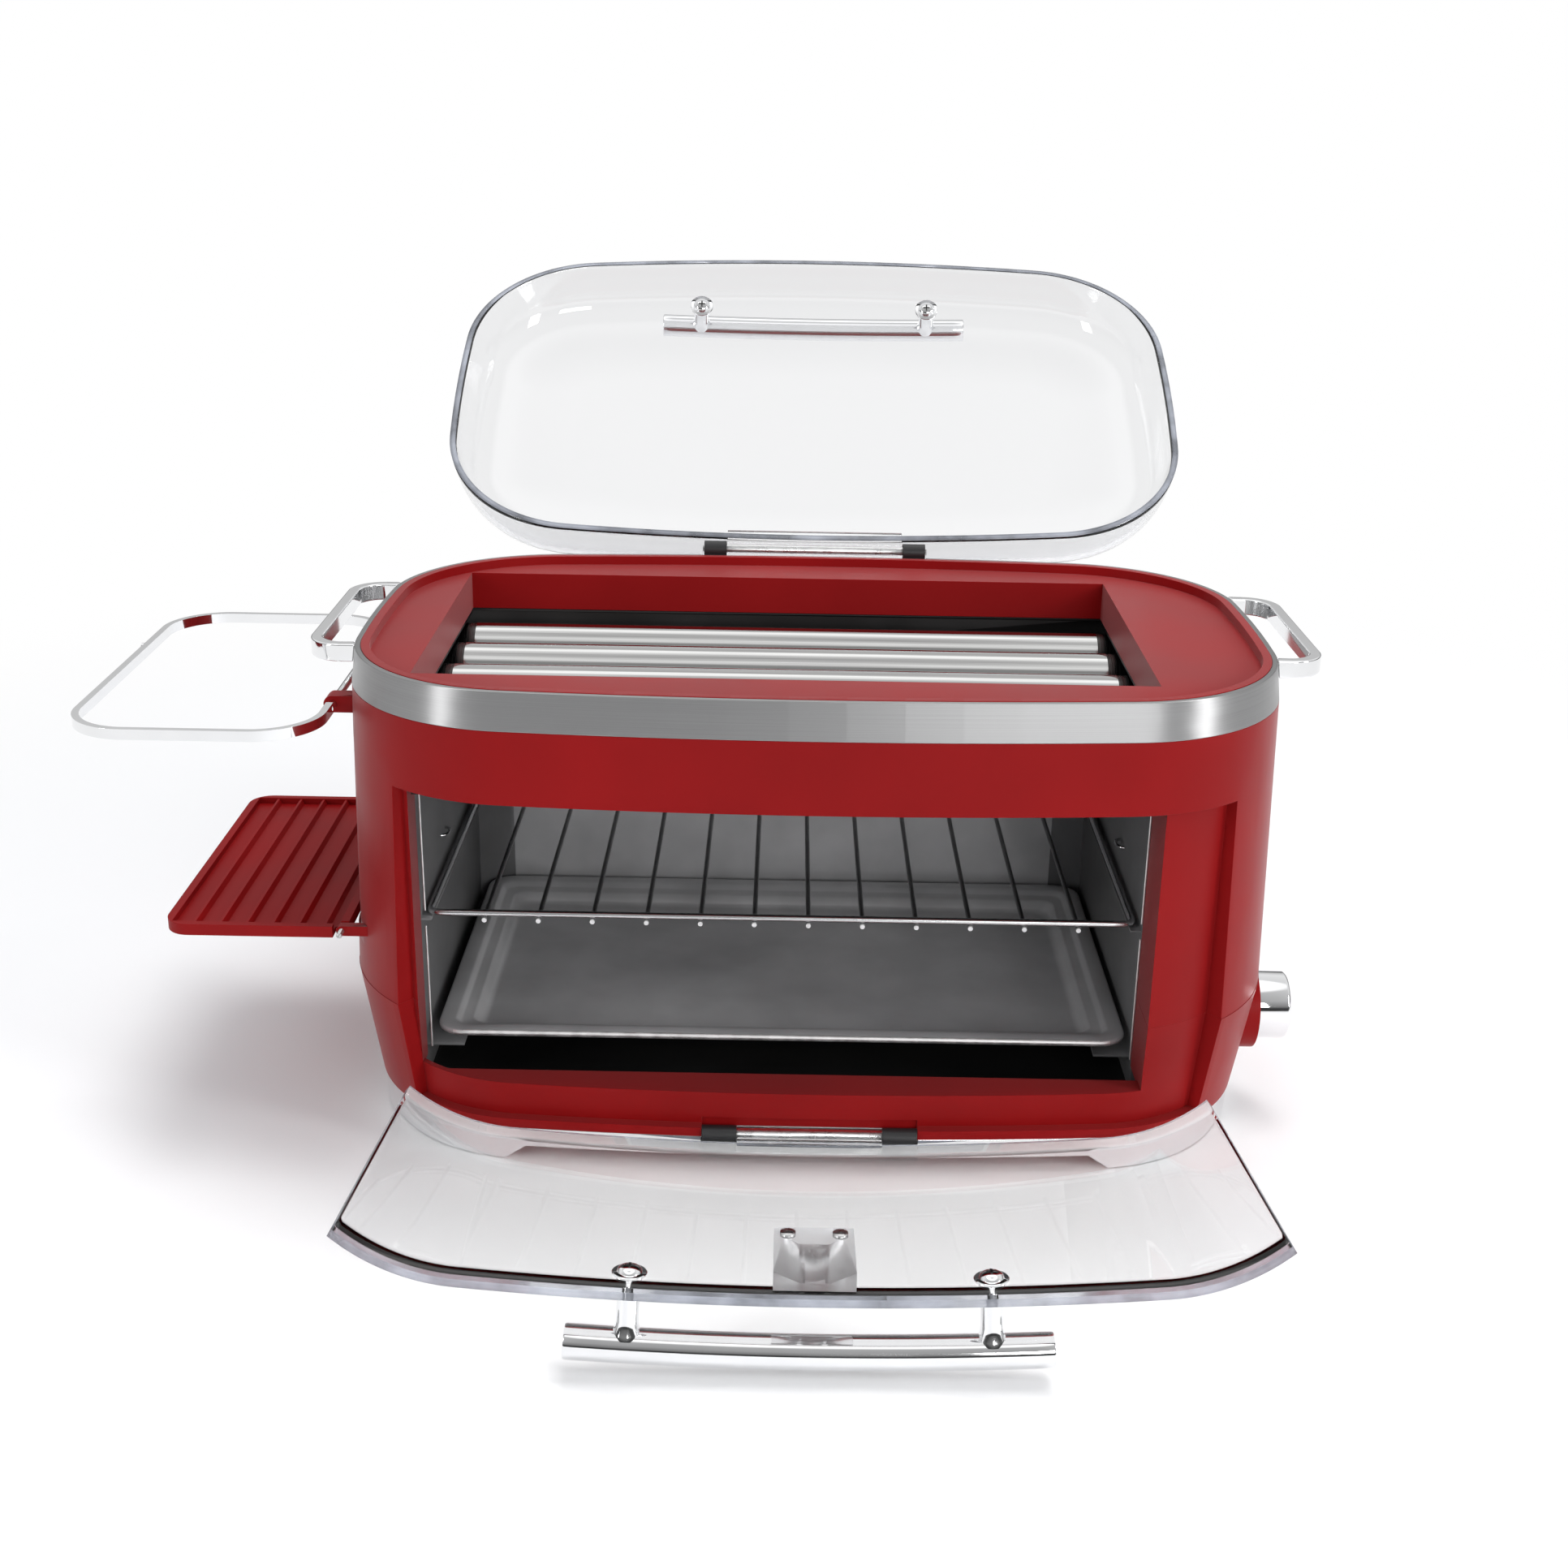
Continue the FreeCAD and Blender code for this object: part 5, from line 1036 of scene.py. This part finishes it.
def stage_world():
    """Soft room light, white behind the object, with a dark horizon and a bright ring above for metal."""
    world = bpy.data.worlds.new("studio")
    world.use_nodes = True
    bpy.context.scene.world = world
    tree = world.node_tree
    soft = tree.nodes["Background"]
    soft.inputs["Color"].default_value = (0.93, 0.95, 1.0, 1)
    soft.inputs["Strength"].default_value = 0.55
    white = tree.nodes.new("ShaderNodeBackground")
    white.inputs["Color"].default_value = (1, 1, 1, 1)
    place = tree.nodes.new("ShaderNodeTexCoord")
    split = tree.nodes.new("ShaderNodeSeparateXYZ")
    tree.links.new(place.outputs["Generated"], split.inputs["Vector"])
    ramp = tree.nodes.new("ShaderNodeValToRGB")
    stops = ((0.0, 0.37), (0.47, 0.4), (0.5, 0.06), (0.56, 0.05), (0.62, 0.27), (0.75, 0.45), (0.9, 0.4),
             (0.935, 1.0), (0.965, 1.0), (1.0, 0.4))
    elements = ramp.color_ramp.elements
    while len(elements) < len(stops):
        elements.new(0.5)
    for element, (position, level) in zip(elements, stops):
        element.position = position
        element.color = (level, level, level, 1)
    half = tree.nodes.new("ShaderNodeMapRange")
    half.inputs["From Min"].default_value = -1.0
    tree.links.new(split.outputs["Z"], half.inputs["Value"])
    tree.links.new(half.outputs["Result"], ramp.inputs["Fac"])
    mirror = tree.nodes.new("ShaderNodeBackground")
    mirror.inputs["Strength"].default_value = 2.0
    toward = tree.nodes.new("ShaderNodeMapRange")
    toward.inputs["From Min"].default_value = -0.9
    toward.inputs["From Max"].default_value = 0.1
    toward.inputs["To Min"].default_value = 0.4
    tree.links.new(split.outputs["Y"], toward.inputs["Value"])
    dim = tree.nodes.new("ShaderNodeVectorMath")
    dim.operation = "SCALE"
    tree.links.new(ramp.outputs["Color"], dim.inputs[0])
    tree.links.new(toward.outputs["Result"], dim.inputs["Scale"])
    tree.links.new(dim.outputs["Vector"], mirror.inputs["Color"])
    seen, glossy = backdrop_rays(tree)[:2]
    first = tree.nodes.new("ShaderNodeMixShader")
    second = tree.nodes.new("ShaderNodeMixShader")
    tree.links.new(glossy, first.inputs["Fac"])
    tree.links.new(soft.outputs["Background"], first.inputs[1])
    tree.links.new(mirror.outputs["Background"], first.inputs[2])
    tree.links.new(seen, second.inputs["Fac"])
    tree.links.new(first.outputs["Shader"], second.inputs[1])
    tree.links.new(white.outputs["Background"], second.inputs[2])
    tree.links.new(second.outputs["Shader"], tree.nodes["World Output"].inputs["Surface"])


def stage_camera():
    """Camera at the photograph's place, its angles in degrees."""
    pitch, yaw, roll = (math.radians(angle) for angle in (20.47, 0.02, 1.03))
    forward = Vector((math.sin(yaw) * math.cos(pitch), math.cos(yaw) * math.cos(pitch), -math.sin(pitch)))
    right = Vector((math.cos(yaw), -math.sin(yaw), 0))
    up = right.cross(forward)
    side = right * math.cos(roll) + up * math.sin(roll)
    top = up * math.cos(roll) - right * math.sin(roll)
    lens = bpy.data.cameras.new("camera")
    lens.sensor_width = 36.0
    lens.lens = 45.28
    camera = bpy.data.objects.new("camera", lens)
    turn = Matrix((side, top, -forward)).transposed().to_4x4()
    camera.matrix_world = Matrix.Translation((-0.0126, -0.8276, 0.4415)) @ turn
    bpy.context.scene.collection.objects.link(camera)
    bpy.context.scene.camera = camera


class HD_OT_stage(bpy.types.Operator):
    """Pale floor, soft lamps and the camera"""
    bl_idname = "hotdog.stage"
    bl_label = "Stage"

    def execute(self, context):
        context.scene.view_settings.view_transform = "Standard"
        stage_floor()
        stage_world()
        stage_camera()
        middle = (0, 0, 0.1)
        # The open lid would mirror the key lamp as pure white, so only dull surfaces see it
        key = area_lamp("key", (0.3, 0.3, 1.8), middle, (1.6, 0.5), 22)
        key.visible_glossy = False
        key.visible_transmission = False
        area_lamp("right", (1.62, -0.8, 0.7), middle, (0.35, 0.9), 12)
        area_lamp("left", (-1.5, -1.1, 0.7), middle, (0.3, 0.9), 8)
        area_lamp("front", (0.78, -2.05, 0.75), middle, (1.15, 0.5), 15)
        return {"FINISHED"}


OPERATORS = (HD_OT_casing, HD_OT_rollers, HD_OT_oven, HD_OT_lid, HD_OT_door, HD_OT_handles, HD_OT_hardware,
             HD_OT_stage)


class HD_PT_panel(bpy.types.Panel):
    """Sizes, colours and pieces of the hot dog maker"""
    bl_idname = "HD_PT_panel"
    bl_label = "Hot Dog Maker"
    bl_space_type = "VIEW_3D"
    bl_region_type = "UI"
    bl_category = "Hot Dog Maker"

    def draw(self, context):
        for attribute, group in SETTINGS:
            box = self.layout.box()
            for key in group.__annotations__:
                box.prop(getattr(context.scene, attribute), key)
        for operator in OPERATORS:
            self.layout.operator(operator.bl_idname)


def register():
    for attribute, group in SETTINGS:
        bpy.utils.register_class(group)
        setattr(bpy.types.Scene, attribute, bpy.props.PointerProperty(type=group))
    for cls in (*OPERATORS, HD_PT_panel):
        bpy.utils.register_class(cls)


def unregister():
    for cls in (HD_PT_panel, *reversed(OPERATORS)):
        bpy.utils.unregister_class(cls)
    for attribute, group in SETTINGS:
        delattr(bpy.types.Scene, attribute)
        bpy.utils.unregister_class(group)


def main():
    register()
    for operator in OPERATORS:
        group, call = operator.bl_idname.split(".")
        getattr(getattr(bpy.ops, group), call)()
    bpy.context.view_layer.update()


if __name__ == "__main__":
    main()
